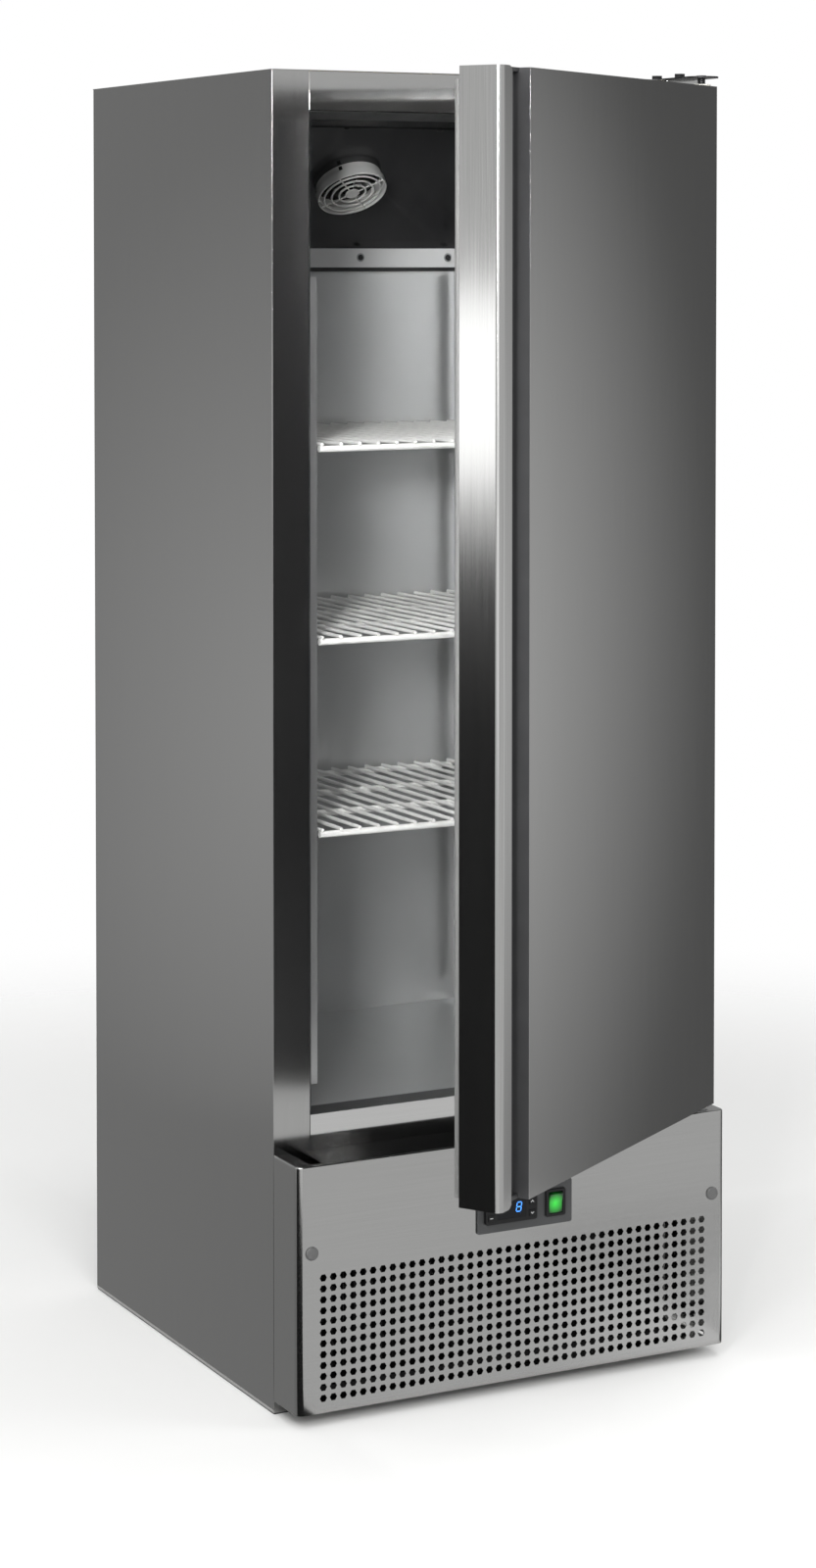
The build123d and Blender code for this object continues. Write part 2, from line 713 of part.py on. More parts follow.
def evaporator_fan_guard():
    """Round moulded grille; z = 0 is its seat on the cover, its face looks along +z."""
    inside = GUARD_COLLAR_RADIUS - GUARD_WALL
    guard = ring(GUARD_COLLAR_RADIUS, inside, 0, GUARD_COLLAR_HEIGHT)
    guard += ring(GUARD_RADIUS, inside, GUARD_COLLAR_HEIGHT, GUARD_COLLAR_HEIGHT + GUARD_WALL)
    guard += ring(GUARD_RADIUS, GUARD_RADIUS - GUARD_WALL, GUARD_COLLAR_HEIGHT, GUARD_HEIGHT)
    face_back = GUARD_HEIGHT - GUARD_RING_DEPTH
    for radius in GUARD_RING_RADII:
        guard += ring(radius + GUARD_RING_WIDTH / 2, radius - GUARD_RING_WIDTH / 2, face_back, GUARD_HEIGHT)
    guard += Pos(0, 0, (face_back + GUARD_HEIGHT) / 2) * Cylinder(GUARD_HUB_RADIUS, GUARD_RING_DEPTH)
    spoke_length = GUARD_RADIUS - GUARD_WALL / 2
    for turn in range(4):
        spoke = block(
            (0, spoke_length), (-GUARD_SPOKE_WIDTH / 2, GUARD_SPOKE_WIDTH / 2), (face_back, GUARD_HEIGHT)
        )
        guard += Rot(0, 0, GUARD_SPOKE_START + turn * 90) * spoke
    return fan_seat.location * guard


def cooler_motor():
    """Fan motor on a bridge whose two legs stand on the back of the cover."""
    bridge_top = -COOLER_MOTOR_SETBACK
    bridge_low = bridge_top - COOLER_ARM_SHEET
    half_arm = COOLER_ARM_WIDTH / 2
    motor = Cylinder(COOLER_MOTOR_RADIUS, COOLER_MOTOR_LENGTH)
    motor = Pos(0, 0, bridge_low - COOLER_MOTOR_LENGTH / 2) * motor
    motor += block((-COOLER_ARM_REACH, COOLER_ARM_REACH), (-half_arm, half_arm), (bridge_low, bridge_top))
    for side in (-1, 1):
        leg = sorted((side * COOLER_ARM_REACH, side * (COOLER_ARM_REACH - COOLER_ARM_SHEET)))
        motor += block(leg, (-half_arm, half_arm), (bridge_low, -COVER_SHEET))
    bore = rod(
        (0, 0, bridge_top), (0, 0, bridge_low - FAN_SHAFT_GRIP), FAN_SHAFT_RADIUS + FAN_SHAFT_CLEARANCE
    )
    return fan_seat.location * (motor - bore)


def cooler_blade():
    depth = COOLER_MOTOR_SETBACK / 2
    blades = fan_blades(COOLER_BLADE_RADIUS, GUARD_HUB_RADIUS, COOLER_BLADE_COUNT, depth, 28)
    shaft_end = -COOLER_MOTOR_SETBACK - COOLER_ARM_SHEET - FAN_SHAFT_GRIP + SEAT_GAP
    rotor = Pos(0, 0, -depth - COVER_SHEET) * blades
    return fan_seat.location * (rotor + rod((0, 0, -depth), (0, 0, shaft_end), FAN_SHAFT_RADIUS))


coil_front = cover_top_y + COIL_FRONT_GAP
coil_top = liner_top - COIL_DROP
coil_tube_ys = [
    coil_front + COIL_DEPTH / 2 + (step - (COIL_TUBE_COLUMNS - 1) / 2) * COIL_TUBE_SPACING
    for step in range(COIL_TUBE_COLUMNS)
]
coil_tube_zs = [coil_top - COIL_HEIGHT / 2 + side * COIL_ROW_SPACING / 2 for side in (1, -1)]
coil_end = COIL_HALF_WIDTH + TUBE_OVERHANG


def evaporator_fins():
    holes = [
        rod((-COIL_PLATE, y, z), (2 * COIL_PLATE, y, z), COIL_TUBE_RADIUS)
        for y in coil_tube_ys
        for z in coil_tube_zs
    ]
    span = (coil_front, coil_front + COIL_DEPTH)
    fin = block((0, COIL_FIN), span, (coil_top - COIL_HEIGHT, coil_top)) - holes
    plate = block((0, COIL_PLATE), span, (coil_top - COIL_HEIGHT, liner_top)) - holes
    gap = (2 * COIL_HALF_WIDTH - COIL_PLATE) / (COIL_FIN_COUNT + 1)
    fins = [Pos(-COIL_HALF_WIDTH + step * gap, 0, 0) * fin for step in range(1, COIL_FIN_COUNT + 1)]
    ends = [Pos(x, 0, 0) * plate for x in (-COIL_HALF_WIDTH, COIL_HALF_WIDTH - COIL_PLATE)]
    return fins + ends


def serpentine(stops, left, right):
    points, side = [], 1
    for y, z in stops:
        ends = (left, right) if side > 0 else (right, left)
        points += [(ends[0], y, z), (ends[1], y, z)]
        side = -side
    return points


def evaporator_tubes():
    stops = []
    for step, y in enumerate(coil_tube_ys):
        heights = coil_tube_zs if step % 2 == 0 else coil_tube_zs[::-1]
        stops += [(y, z) for z in heights]
    bend = 0.45 * min(COIL_TUBE_SPACING, COIL_ROW_SPACING)
    return pipe(serpentine(stops, -coil_end, coil_end), COIL_TUBE_RADIUS, bend)


# Lower front panel and controls
def kick_panel():
    def outline(inset, rear):
        side, face = half_width - inset, kick_front + inset
        corners = [(side, rear), (side, face), (-side, face), (-side, rear)]
        return rounded(
            Polygon(*corners, align=None),
            [((side, face), KICK_CORNER - inset), ((-side, face), KICK_CORNER - inset)],
        )

    shell = upwards(outline(0, front), KICK_BOTTOM, KICK_TOP)
    hollow = outline(KICK_SHEET, front + KICK_SHEET)
    shell -= upwards(hollow, KICK_BOTTOM - KICK_SHEET, KICK_TOP - KICK_SHEET)
    face_plane = Plane(origin=(0, kick_front - KICK_SHEET, 0), x_dir=(1, 0, 0), z_dir=(0, 1, 0))
    hexagon = extrude(face_plane * RegularPolygon(HOLE_RADIUS, 6), 3 * KICK_SHEET)
    holes = [
        Pos(
            (column - (HOLE_COLUMNS - 1) / 2) * HOLE_PITCH_X,
            0,
            HOLE_CENTRE_Z + (row - (HOLE_ROWS - 1) / 2) * HOLE_PITCH_Z,
        )
        * hexagon
        for column in range(HOLE_COLUMNS)
        for row in range(HOLE_ROWS)
    ]
    notch_half = ARM_WIDTH / 2 + NOTCH_CLEARANCE
    notch_front = pivot_y - ARM_NOSE - NOTCH_CLEARANCE
    notches = [
        block(
            (side * pivot_x - notch_half, side * pivot_x + notch_half),
            (notch_front, front + KICK_SHEET),
            (KICK_TOP - 2 * KICK_SHEET, KICK_TOP + KICK_SHEET),
        )
        for side in (-1, 1)
    ]
    screw_holes = both_sides(
        rod(
            (KICK_SCREW_X, kick_front - KICK_SHEET, KICK_SCREW_Z),
            (KICK_SCREW_X, kick_inside + KICK_SHEET, KICK_SCREW_Z),
            KICK_SCREW_RADIUS + KICK_SCREW_CLEARANCE,
        )
    )
    depth = (kick_front - KICK_SHEET, kick_inside + KICK_SHEET)
    return shell - holes - notches - screw_holes - controller_cutout(depth) - switch_cutout(depth)


def kick_bracket():
    half = BRACKET_WIDTH / 2
    tall = (KICK_SCREW_Z - half, KICK_SCREW_Z + half)
    inner = (KICK_SCREW_X - BRACKET_TAB, KICK_SCREW_X + BRACKET_SHEET + KICK_SCREW_HEAD)
    web_x = (inner[0], inner[0] + BRACKET_SHEET)
    bracket = block(inner, (kick_inside, kick_inside + BRACKET_SHEET), tall)
    bracket += block(web_x, (kick_inside, front), tall)
    bracket += block((web_x[0], KICK_SCREW_X), (front - BRACKET_SHEET, front), tall)
    return bracket - rod(
        (KICK_SCREW_X, kick_front, KICK_SCREW_Z),
        (KICK_SCREW_X, kick_inside + 2 * BRACKET_SHEET, KICK_SCREW_Z),
        KICK_SCREW_RADIUS + KICK_SCREW_CLEARANCE,
    )


def kick_screw():
    seat = (KICK_SCREW_X, kick_front, KICK_SCREW_Z)
    face = (KICK_SCREW_X, kick_front - KICK_SCREW_HEAD_HEIGHT, KICK_SCREW_Z)
    tip = (KICK_SCREW_X, kick_front + KICK_SCREW_LENGTH, KICK_SCREW_Z)
    head = rod(seat, face, KICK_SCREW_HEAD)
    rim = head.edges().group_by(Axis.Y)[0]
    return fillet(rim, KICK_SCREW_HEAD_HEIGHT / 2) + rod(seat, tip, KICK_SCREW_RADIUS)


def around(x, half_wide, half_tall, depth):
    return block((x - half_wide, x + half_wide), depth, (BEZEL_Z - half_tall, BEZEL_Z + half_tall))


bezel_face = kick_front - BEZEL_THICKNESS
controller_face = bezel_face - CONTROLLER_FACE
controller_body_half = CONTROLLER_WIDTH / 2 - CONTROLLER_BODY_INSET
controller_body_tall = CONTROLLER_HEIGHT / 2 - CONTROLLER_BODY_INSET
switch_body_half = SWITCH_WIDTH / 2 - SWITCH_BODY_INSET
switch_body_tall = SWITCH_HEIGHT / 2 - SWITCH_BODY_INSET
key_places = {
    "key_defrost": (-1, 1),
    "key_set": (-1, -1),
    "key_up": (1, 1),
    "key_down": (1, -1),
}


def controller_cutout(depth):
    spare = CUTOUT_CLEARANCE
    return around(CONTROLLER_X, controller_body_half + spare, controller_body_tall + spare, depth)


def switch_cutout(depth):
    spare = CUTOUT_CLEARANCE
    return around(SWITCH_X, switch_body_half + spare, switch_body_tall + spare, depth)


def control_bezel():
    depth = (bezel_face, kick_front)
    plate = around(BEZEL_X, BEZEL_WIDTH / 2, BEZEL_HEIGHT / 2, depth)
    plate = fillet(plate.edges().filter_by(Axis.Y), BEZEL_CORNER)
    through = (bezel_face - BEZEL_THICKNESS, kick_front + BEZEL_THICKNESS)
    return plate - controller_cutout(through) - switch_cutout(through)


def key_block(place, grow, depth):
    side, level = place
    x, z = CONTROLLER_X + side * KEY_OFFSET_X, BEZEL_Z + level * KEY_OFFSET_Z
    half_wide, half_tall = KEY_WIDTH / 2 + grow, KEY_HEIGHT / 2 + grow
    return block((x - half_wide, x + half_wide), depth, (z - half_tall, z + half_tall))


def controller_case():
    case = around(CONTROLLER_X, CONTROLLER_WIDTH / 2, CONTROLLER_HEIGHT / 2, (controller_face, bezel_face))
    case = fillet(case.edges().filter_by(Axis.Y), BEZEL_CORNER)
    body_end = bezel_face + CONTROLLER_BODY_DEPTH
    case += around(CONTROLLER_X, controller_body_half, controller_body_tall, (bezel_face, body_end))
    case -= around(
        CONTROLLER_X,
        WINDOW_WIDTH / 2,
        WINDOW_HEIGHT / 2,
        (controller_face - WINDOW_DEPTH, controller_face + WINDOW_DEPTH),
    )
    well_end = controller_face - KEY_PROUD + KEY_DEPTH + KEY_TRAVEL + KEY_WELL_SPARE
    wells = [
        key_block(place, KEY_CLEARANCE, (controller_face - KEY_PROUD, well_end))
        for place in key_places.values()
    ]
    return case - wells


def controller_window():
    return around(
        CONTROLLER_X, WINDOW_WIDTH / 2, WINDOW_HEIGHT / 2, (controller_face, controller_face + WINDOW_DEPTH)
    )


def controller_key(place):
    key_front = controller_face - KEY_PROUD
    return key_block(place, 0, (key_front, key_front + KEY_DEPTH))


rocker_pivot_y = bezel_face + ROCKER_PIVOT_DEPTH


def switch_housing():
    face = bezel_face - SWITCH_FACE
    housing = around(SWITCH_X, SWITCH_WIDTH / 2, SWITCH_HEIGHT / 2, (face, bezel_face))
    housing = fillet(housing.edges().filter_by(Axis.Y), BEZEL_CORNER)
    body_end = bezel_face + SWITCH_BODY_DEPTH
    housing += around(SWITCH_X, switch_body_half, switch_body_tall, (bezel_face, body_end))
    well_end = rocker_pivot_y + ROCKER_BACK + 2 * ROCKER_END_GAP
    return housing - around(
        SWITCH_X,
        ROCKER_WIDTH / 2 + ROCKER_SIDE_GAP,
        ROCKER_HEIGHT / 2 + ROCKER_END_GAP,
        (face - SWITCH_FACE, well_end),
    )


def switch_rocker():
    half = ROCKER_HEIGHT / 2
    profile = [
        (ROCKER_BACK, -half),
        (ROCKER_BACK, half),
        (-ROCKER_FRONT, half),
        (-ROCKER_FRONT + ROCKER_DISH, 0),
        (-ROCKER_FRONT, -half),
    ]
    rocker = prism(Plane.YZ.offset(-ROCKER_WIDTH / 2), profile, ROCKER_WIDTH)
    return Pos(SWITCH_X, rocker_pivot_y, BEZEL_Z) * Rot(ROCKER_TILT, 0, 0) * rocker


# Door, drawn shut and then swung to its resting angle
def opened(shape):
    return shape.rotate(Axis((pivot_x, pivot_y, 0), (0, 0, 1)), DOOR_REST_ANGLE)


def door_section(inset, rear, left):
    right, face = door_right - inset, door_face + inset
    edge, floor = groove_edge + inset, groove_floor + inset
    corners = [(right, rear), (right, face), (edge, face), (edge, floor), (left, floor), (left, rear)]
    return rounded(
        Polygon(*corners, align=None),
        [
            ((right, face), DOOR_EDGE_RADIUS - inset),
            ((edge, face), DOOR_EDGE_RADIUS - inset),
            ((edge, floor), GROOVE_CORNER - DOOR_SKIN + inset),
        ],
    )


def between_ends(sketch, end_gap):
    return upwards(sketch, door_bottom + end_gap, door_top - end_gap)


def at_both_ends(sketch, thickness):
    low = upwards(sketch, door_bottom, door_bottom + thickness)
    return [low, Pos(0, 0, door_top - door_bottom - thickness) * low]


def door_skin():
    outer = door_section(0, door_back, handle_inside)
    inner = door_section(DOOR_SKIN, door_back + DOOR_SKIN, handle_inside - DOOR_SKIN)
    skin = between_ends(outer - inner, 0)
    gap = Polygon(
        (groove_edge + DOOR_SKIN, door_face + CAP_SETBACK),
        (handle_inside - DOOR_SKIN, door_face + CAP_SETBACK),
        (handle_inside - DOOR_SKIN, groove_floor + DOOR_SKIN),
        (groove_edge + DOOR_SKIN, groove_floor + DOOR_SKIN),
        align=None,
    )
    return skin - at_both_ends(gap, DOOR_CAP)


def door_handle_profile():
    outer = [
        (door_left, door_back),
        (door_left, door_face),
        (lip_edge, door_face),
        (lip_edge, door_face + LIP_RETURN),
        (lip_edge - HANDLE_WALL, door_face + LIP_RETURN),
        (lip_edge - HANDLE_WALL, door_face + HANDLE_WALL),
        (handle_inside, door_face + HANDLE_WALL),
        (handle_inside, door_back),
    ]
    section = rounded(
        Polygon(*outer, align=None),
        [
            ((door_left, door_face), HANDLE_CORNER),
            ((handle_inside, door_face + HANDLE_WALL), HANDLE_CORNER - HANDLE_WALL),
        ],
    )
    profile = between_ends(section, 0)
    lip_plane = Plane(origin=(lip_edge, door_face - HANDLE_WALL, 0), x_dir=(1, 0, 0), z_dir=(0, 1, 0))
    size = LIP_END_RADIUS
    corner = Pos(-size / 2, 0) * Rectangle(size, 2 * size) - Pos(-size, -size) * Circle(size)
    corner -= Pos(-size, size) * Circle(size)
    cut = extrude(lip_plane * corner, LIP_RETURN + 2 * HANDLE_WALL)
    return profile - [Pos(0, 0, door_bottom) * cut, Pos(0, 0, door_top) * cut]


def door_foam():
    core = between_ends(door_section(DOOR_SKIN, panel_face, handle_inside), DOOR_CAP)
    return core - bush_space()


def cap_section():
    main = door_section(DOOR_SKIN, panel_face, handle_inside)
    lip_back = door_face + LIP_RETURN + CAP_CLEARANCE
    mouth = Polygon(
        (groove_edge + DOOR_SKIN, door_face + CAP_SETBACK),
        (lip_edge + CAP_CLEARANCE, door_face + CAP_SETBACK),
        (lip_edge + CAP_CLEARANCE, lip_back),
        (handle_inside, lip_back),
        (handle_inside, groove_floor + DOOR_SKIN),
        (groove_edge + DOOR_SKIN, groove_floor + DOOR_SKIN),
        align=None,
    )
    return main + mouth


def door_end_caps():
    return [cap - bush_space() for cap in at_both_ends(cap_section(), DOOR_CAP)]


def door_inner_panel():
    x_span = (handle_inside, door_right - DOOR_SKIN)
    panel = block(x_span, (panel_face, door_back), (door_bottom, door_top))
    seal_inside = gasket_frames()[1]
    (low_x, low_z), (high_x, high_z) = seal_inside[0], seal_inside[2]
    rib_depth = (door_back, door_back + PANEL_RIB_HEIGHT)
    field = block((low_x, high_x), rib_depth, (low_z, high_z))
    hollow = block(
        (low_x + PANEL_RIB, high_x - PANEL_RIB), rib_depth, (low_z + PANEL_RIB, high_z - PANEL_RIB)
    )
    return panel + (field - hollow)


def gasket_frames():
    """Corners of the gasket's outer and inner edge, as (x, z)."""
    low_x, high_x = door_left + GASKET_FREE_INSET, door_right - GASKET_HINGE_INSET
    low_z, high_z = door_bottom + GASKET_BOTTOM_INSET, door_top - GASKET_TOP_INSET
    frames = []
    for inset in (0, GASKET_WIDTH):
        frames.append(
            [
                (low_x + inset, low_z + inset),
                (high_x - inset, low_z + inset),
                (high_x - inset, high_z - inset),
                (low_x + inset, high_z - inset),
            ]
        )
    return frames


def door_gasket():
    """Four mitred lengths of seal, welded at the corners."""
    outer, inner = gasket_frames()
    seal_plane = Plane(origin=(0, door_back, 0), x_dir=(1, 0, 0), z_dir=(0, 1, 0))
    depth = front - GASKET_GAP - door_back
    lengths = []
    for corner in range(4):
        other = (corner + 1) % 4
        loop = [outer[corner], outer[other], inner[other], inner[corner]]
        lengths.append(prism(seal_plane, [(x, -z) for x, z in loop], depth))
    return lengths


# Hinges
def top_bolt_feet():
    x, z = pivot_x + TOP_BOLT_OFFSET, CABINET_HEIGHT + TOP_PLATE
    return [(x, front + setback, z) for setback in TOP_BOLT_SETBACKS]


def top_bolt_holes():
    return [hex_bolt_hole(foot, (0, 0, 1)) for foot in top_bolt_feet()]


def lower_bolt_feet():
    y = front - LOWER_PLATE_SHEET
    return [(pivot_x, y, arm_top - drop) for drop in LOWER_BOLT_DROPS]


def lower_bolt_holes():
    return [hex_bolt_hole(foot, (0, -1, 0)) for foot in lower_bolt_feet()]


def pin_hole(low, high):
    return rod((pivot_x, pivot_y, low), (pivot_x, pivot_y, high), PIN_RADIUS + PIN_CLEARANCE)


def top_hinge_bracket():
    level = (CABINET_HEIGHT, CABINET_HEIGHT + TOP_PLATE)
    across = (pivot_x - TOP_ARM_HALF, pivot_x + TOP_ARM_HALF)
    plate = block(across, (pivot_y, front + TOP_PLATE_REACH), level)
    plate += rod((pivot_x, pivot_y, level[0]), (pivot_x, pivot_y, level[1]), TOP_ARM_HALF)
    return plate - top_bolt_holes() - pin_hole(level[0] - TOP_PLATE, level[1] + TOP_PLATE)


def bottom_hinge_bracket():
    half = LOWER_PLATE_WIDTH / 2
    bracket = block(
        (pivot_x - half, pivot_x + half),
        (front - LOWER_PLATE_SHEET, front),
        (arm_top - LOWER_PLATE_HEIGHT, arm_top - ARM_THICKNESS),
    )
    arm = (pivot_x - ARM_WIDTH / 2, pivot_x + ARM_WIDTH / 2)
    bracket += block(arm, (pivot_y - ARM_NOSE, front), (arm_top - ARM_THICKNESS, arm_top))
    return bracket - lower_bolt_holes() - pin_hole(arm_top - 2 * ARM_THICKNESS, arm_top + ARM_THICKNESS)


def hinge_pins():
    level = CABINET_HEIGHT + TOP_PLATE
    upper = rod((pivot_x, pivot_y, door_top - PIN_REACH), (pivot_x, pivot_y, level), PIN_RADIUS)
    upper += rod((pivot_x, pivot_y, level), (pivot_x, pivot_y, level + PIN_HEAD_HEIGHT), PIN_HEAD_RADIUS)
    arm_under = arm_top - ARM_THICKNESS
    lower = rod((pivot_x, pivot_y, arm_under), (pivot_x, pivot_y, door_bottom + PIN_REACH), PIN_RADIUS)
    head_under = arm_under - PIN_HEAD_HEIGHT
    lower += rod((pivot_x, pivot_y, head_under), (pivot_x, pivot_y, arm_under), PIN_HEAD_RADIUS)
    return [upper, lower]


def bush_space():
    depth = PIN_REACH + BUSH_SPARE
    low = rod((pivot_x, pivot_y, door_bottom), (pivot_x, pivot_y, door_bottom + depth), BUSH_RADIUS)
    high = rod((pivot_x, pivot_y, door_top - depth), (pivot_x, pivot_y, door_top), BUSH_RADIUS)
    return [low, high]


def door_bushes():
    flange = ARM_DROP - HINGE_SEAT_GAP
    sleeves = bush_space()
    flange_under = door_bottom - flange
    low = sleeves[0] + rod((pivot_x, pivot_y, flange_under), (pivot_x, pivot_y, door_bottom), BUSH_FLANGE)
    high = sleeves[1] + rod((pivot_x, pivot_y, door_top), (pivot_x, pivot_y, door_top + flange), BUSH_FLANGE)
    low -= pin_hole(door_bottom - 2 * flange, door_bottom + PIN_REACH + BUSH_SPARE / 2)
    high -= pin_hole(door_top - PIN_REACH - BUSH_SPARE / 2, door_top + 2 * flange)
    return [low, high]


# Cooling unit
def compressor():
    low = BASE_SHEET + GROMMET_HEIGHT
    foot = block(
        (COMPRESSOR_X - COMPRESSOR_FOOT_X / 2, COMPRESSOR_X + COMPRESSOR_FOOT_X / 2),
        (COMPRESSOR_Y - COMPRESSOR_FOOT_Y / 2, COMPRESSOR_Y + COMPRESSOR_FOOT_Y / 2),
        (low, low + COMPRESSOR_FOOT),
    )
    shell = Cylinder(COMPRESSOR_RADIUS, COMPRESSOR_HEIGHT)
    shell = fillet(shell.edges().filter_by(GeomType.CIRCLE), COMPRESSOR_DOME)
    shell += Cylinder(COMPRESSOR_RADIUS + COMPRESSOR_SEAM, 2 * COMPRESSOR_SEAM)
    shell_z = low + COMPRESSOR_FOOT / 2 + COMPRESSOR_HEIGHT / 2
    side = COMPRESSOR_Y - COMPRESSOR_RADIUS + TERMINAL_SINK
    terminal = block(
        (COMPRESSOR_X - TERMINAL_WIDTH / 2, COMPRESSOR_X + TERMINAL_WIDTH / 2),
        (side - TERMINAL_DEPTH, side),
        (shell_z - TERMINAL_HEIGHT / 2, shell_z + TERMINAL_HEIGHT / 2),
    )
    return Pos(COMPRESSOR_X, COMPRESSOR_Y, shell_z) * shell + foot + terminal


def compressor_grommets():
    reach_x = COMPRESSOR_FOOT_X / 2 - GROMMET_INSET
    reach_y = COMPRESSOR_FOOT_Y / 2 - GROMMET_INSET
    return [
        rod(
            (COMPRESSOR_X + side_x * reach_x, COMPRESSOR_Y + side_y * reach_y, BASE_SHEET),
            (COMPRESSOR_X + side_x * reach_x, COMPRESSOR_Y + side_y * reach_y, BASE_SHEET + GROMMET_HEIGHT),
            GROMMET_RADIUS,
        )
        for side_x in (-1, 1)
        for side_y in (-1, 1)
    ]


condenser_front = front + CONDENSER_SETBACK
condenser_span = (condenser_front, condenser_front + CONDENSER_DEPTH)
condenser_left = CONDENSER_X - CONDENSER_WIDTH / 2
condenser_right = CONDENSER_X + CONDENSER_WIDTH / 2
condenser_top = CONDENSER_BOTTOM + CONDENSER_HEIGHT
condenser_ys = [condenser_front + CONDENSER_DEPTH * share for share in (0.25, 0.75)]
condenser_zs = [
    CONDENSER_BOTTOM + CONDENSER_HEIGHT / 2 + (row - (CONDENSER_ROWS - 1) / 2) * CONDENSER_ROW_PITCH
    for row in range(CONDENSER_ROWS)
]
condenser_tube_ends = (condenser_left - TUBE_OVERHANG, condenser_right + TUBE_OVERHANG)
shroud_back = condenser_span[1] + SHROUD_DEPTH
fan_centre_z = CONDENSER_BOTTOM + CONDENSER_HEIGHT / 2


def condenser_fins():
    holes = [
        rod((-SHROUD_SHEET, y, z), (2 * SHROUD_SHEET, y, z), CONDENSER_TUBE_RADIUS)
        for y in condenser_ys
        for z in condenser_zs
    ]
    fin = block((0, CONDENSER_FIN), condenser_span, (CONDENSER_BOTTOM, condenser_top)) - holes
    gap = (CONDENSER_WIDTH - CONDENSER_FIN) / (CONDENSER_FIN_COUNT + 1)
    return [Pos(condenser_left + step * gap, 0, 0) * fin for step in range(1, CONDENSER_FIN_COUNT + 1)]


def condenser_tubes():
    lower = [(condenser_ys[0], z) for z in condenser_zs]
    upper = [(condenser_ys[1], z) for z in reversed(condenser_zs)]
    bend = 0.45 * min(CONDENSER_ROW_PITCH, condenser_ys[1] - condenser_ys[0])
    return pipe(serpentine(lower + upper, *reversed(condenser_tube_ends)), CONDENSER_TUBE_RADIUS, bend)


def condenser_fan_shroud():
    """Back plate with the fan's hole; its side plates stand on the base and carry the tubes."""
    left, right = condenser_left, condenser_right
    top = condenser_top + SHROUD_OVERLAP
    back_plate = (shroud_back - SHROUD_SHEET, shroud_back)
    shroud = block((left, right), back_plate, (BASE_SHEET, top))
    shroud += block((left, right), (condenser_front, shroud_back), (top - SHROUD_SHEET, top))
    for plate in ((left, left + SHROUD_SHEET), (right - SHROUD_SHEET, right)):
        shroud += block(plate, (condenser_front, shroud_back), (BASE_SHEET, top))
    holes = [
        rod((left - SHROUD_SHEET, y, z), (right + SHROUD_SHEET, y, z), CONDENSER_TUBE_RADIUS)
        for y in condenser_ys
        for z in condenser_zs
    ]
    opening = rod(
        (CONDENSER_X, back_plate[0] - SHROUD_SHEET, fan_centre_z),
        (CONDENSER_X, back_plate[1] + SHROUD_SHEET, fan_centre_z),
        CONDENSER_FAN_RADIUS + CONDENSER_FAN_GAP,
    )
    return shroud - holes - opening


blade_front = shroud_back - CONDENSER_BLADE_DEPTH / 2
blade_back = blade_front + CONDENSER_BLADE_DEPTH
motor_front = blade_back + MOTOR_GAP
motor_back = motor_front + CONDENSER_MOTOR_LENGTH


def condenser_fan_blade():
    rotor = fan_blades(
        CONDENSER_FAN_RADIUS, CONDENSER_FAN_HUB, CONDENSER_BLADE_COUNT, CONDENSER_BLADE_DEPTH, 32
    )
    hub_plane = Plane(origin=(CONDENSER_X, blade_front, fan_centre_z), x_dir=(1, 0, 0), z_dir=(0, 1, 0))
    shaft_end = motor_front + FAN_SHAFT_GRIP - SEAT_GAP
    shaft_start, shaft_stop = [(CONDENSER_X, y, fan_centre_z) for y in (blade_front, shaft_end)]
    shaft = rod(shaft_start, shaft_stop, FAN_SHAFT_RADIUS)
    return hub_plane.location * rotor + shaft


def condenser_fan_motor():
    """Motor bolted to a stand that rises from the base."""
    nose, tail = [(CONDENSER_X, y, fan_centre_z) for y in (motor_front, motor_back)]
    motor = rod(nose, tail, CONDENSER_MOTOR_RADIUS)
    half = MOTOR_STAND_WIDTH / 2
    stand_x = (CONDENSER_X - half, CONDENSER_X + half)
    stand = block(stand_x, (motor_back, motor_back + MOTOR_STAND_SHEET), (BASE_SHEET, fan_centre_z + half))
    foot_level = (BASE_SHEET, BASE_SHEET + MOTOR_STAND_SHEET)
    stand += block(stand_x, (motor_back, motor_back + MOTOR_STAND_FOOT), foot_level)
    bore = rod(
        (CONDENSER_X, motor_front, fan_centre_z),
        (CONDENSER_X, motor_front + FAN_SHAFT_GRIP, fan_centre_z),
        FAN_SHAFT_RADIUS + FAN_SHAFT_CLEARANCE,
    )
    return motor + stand - bore


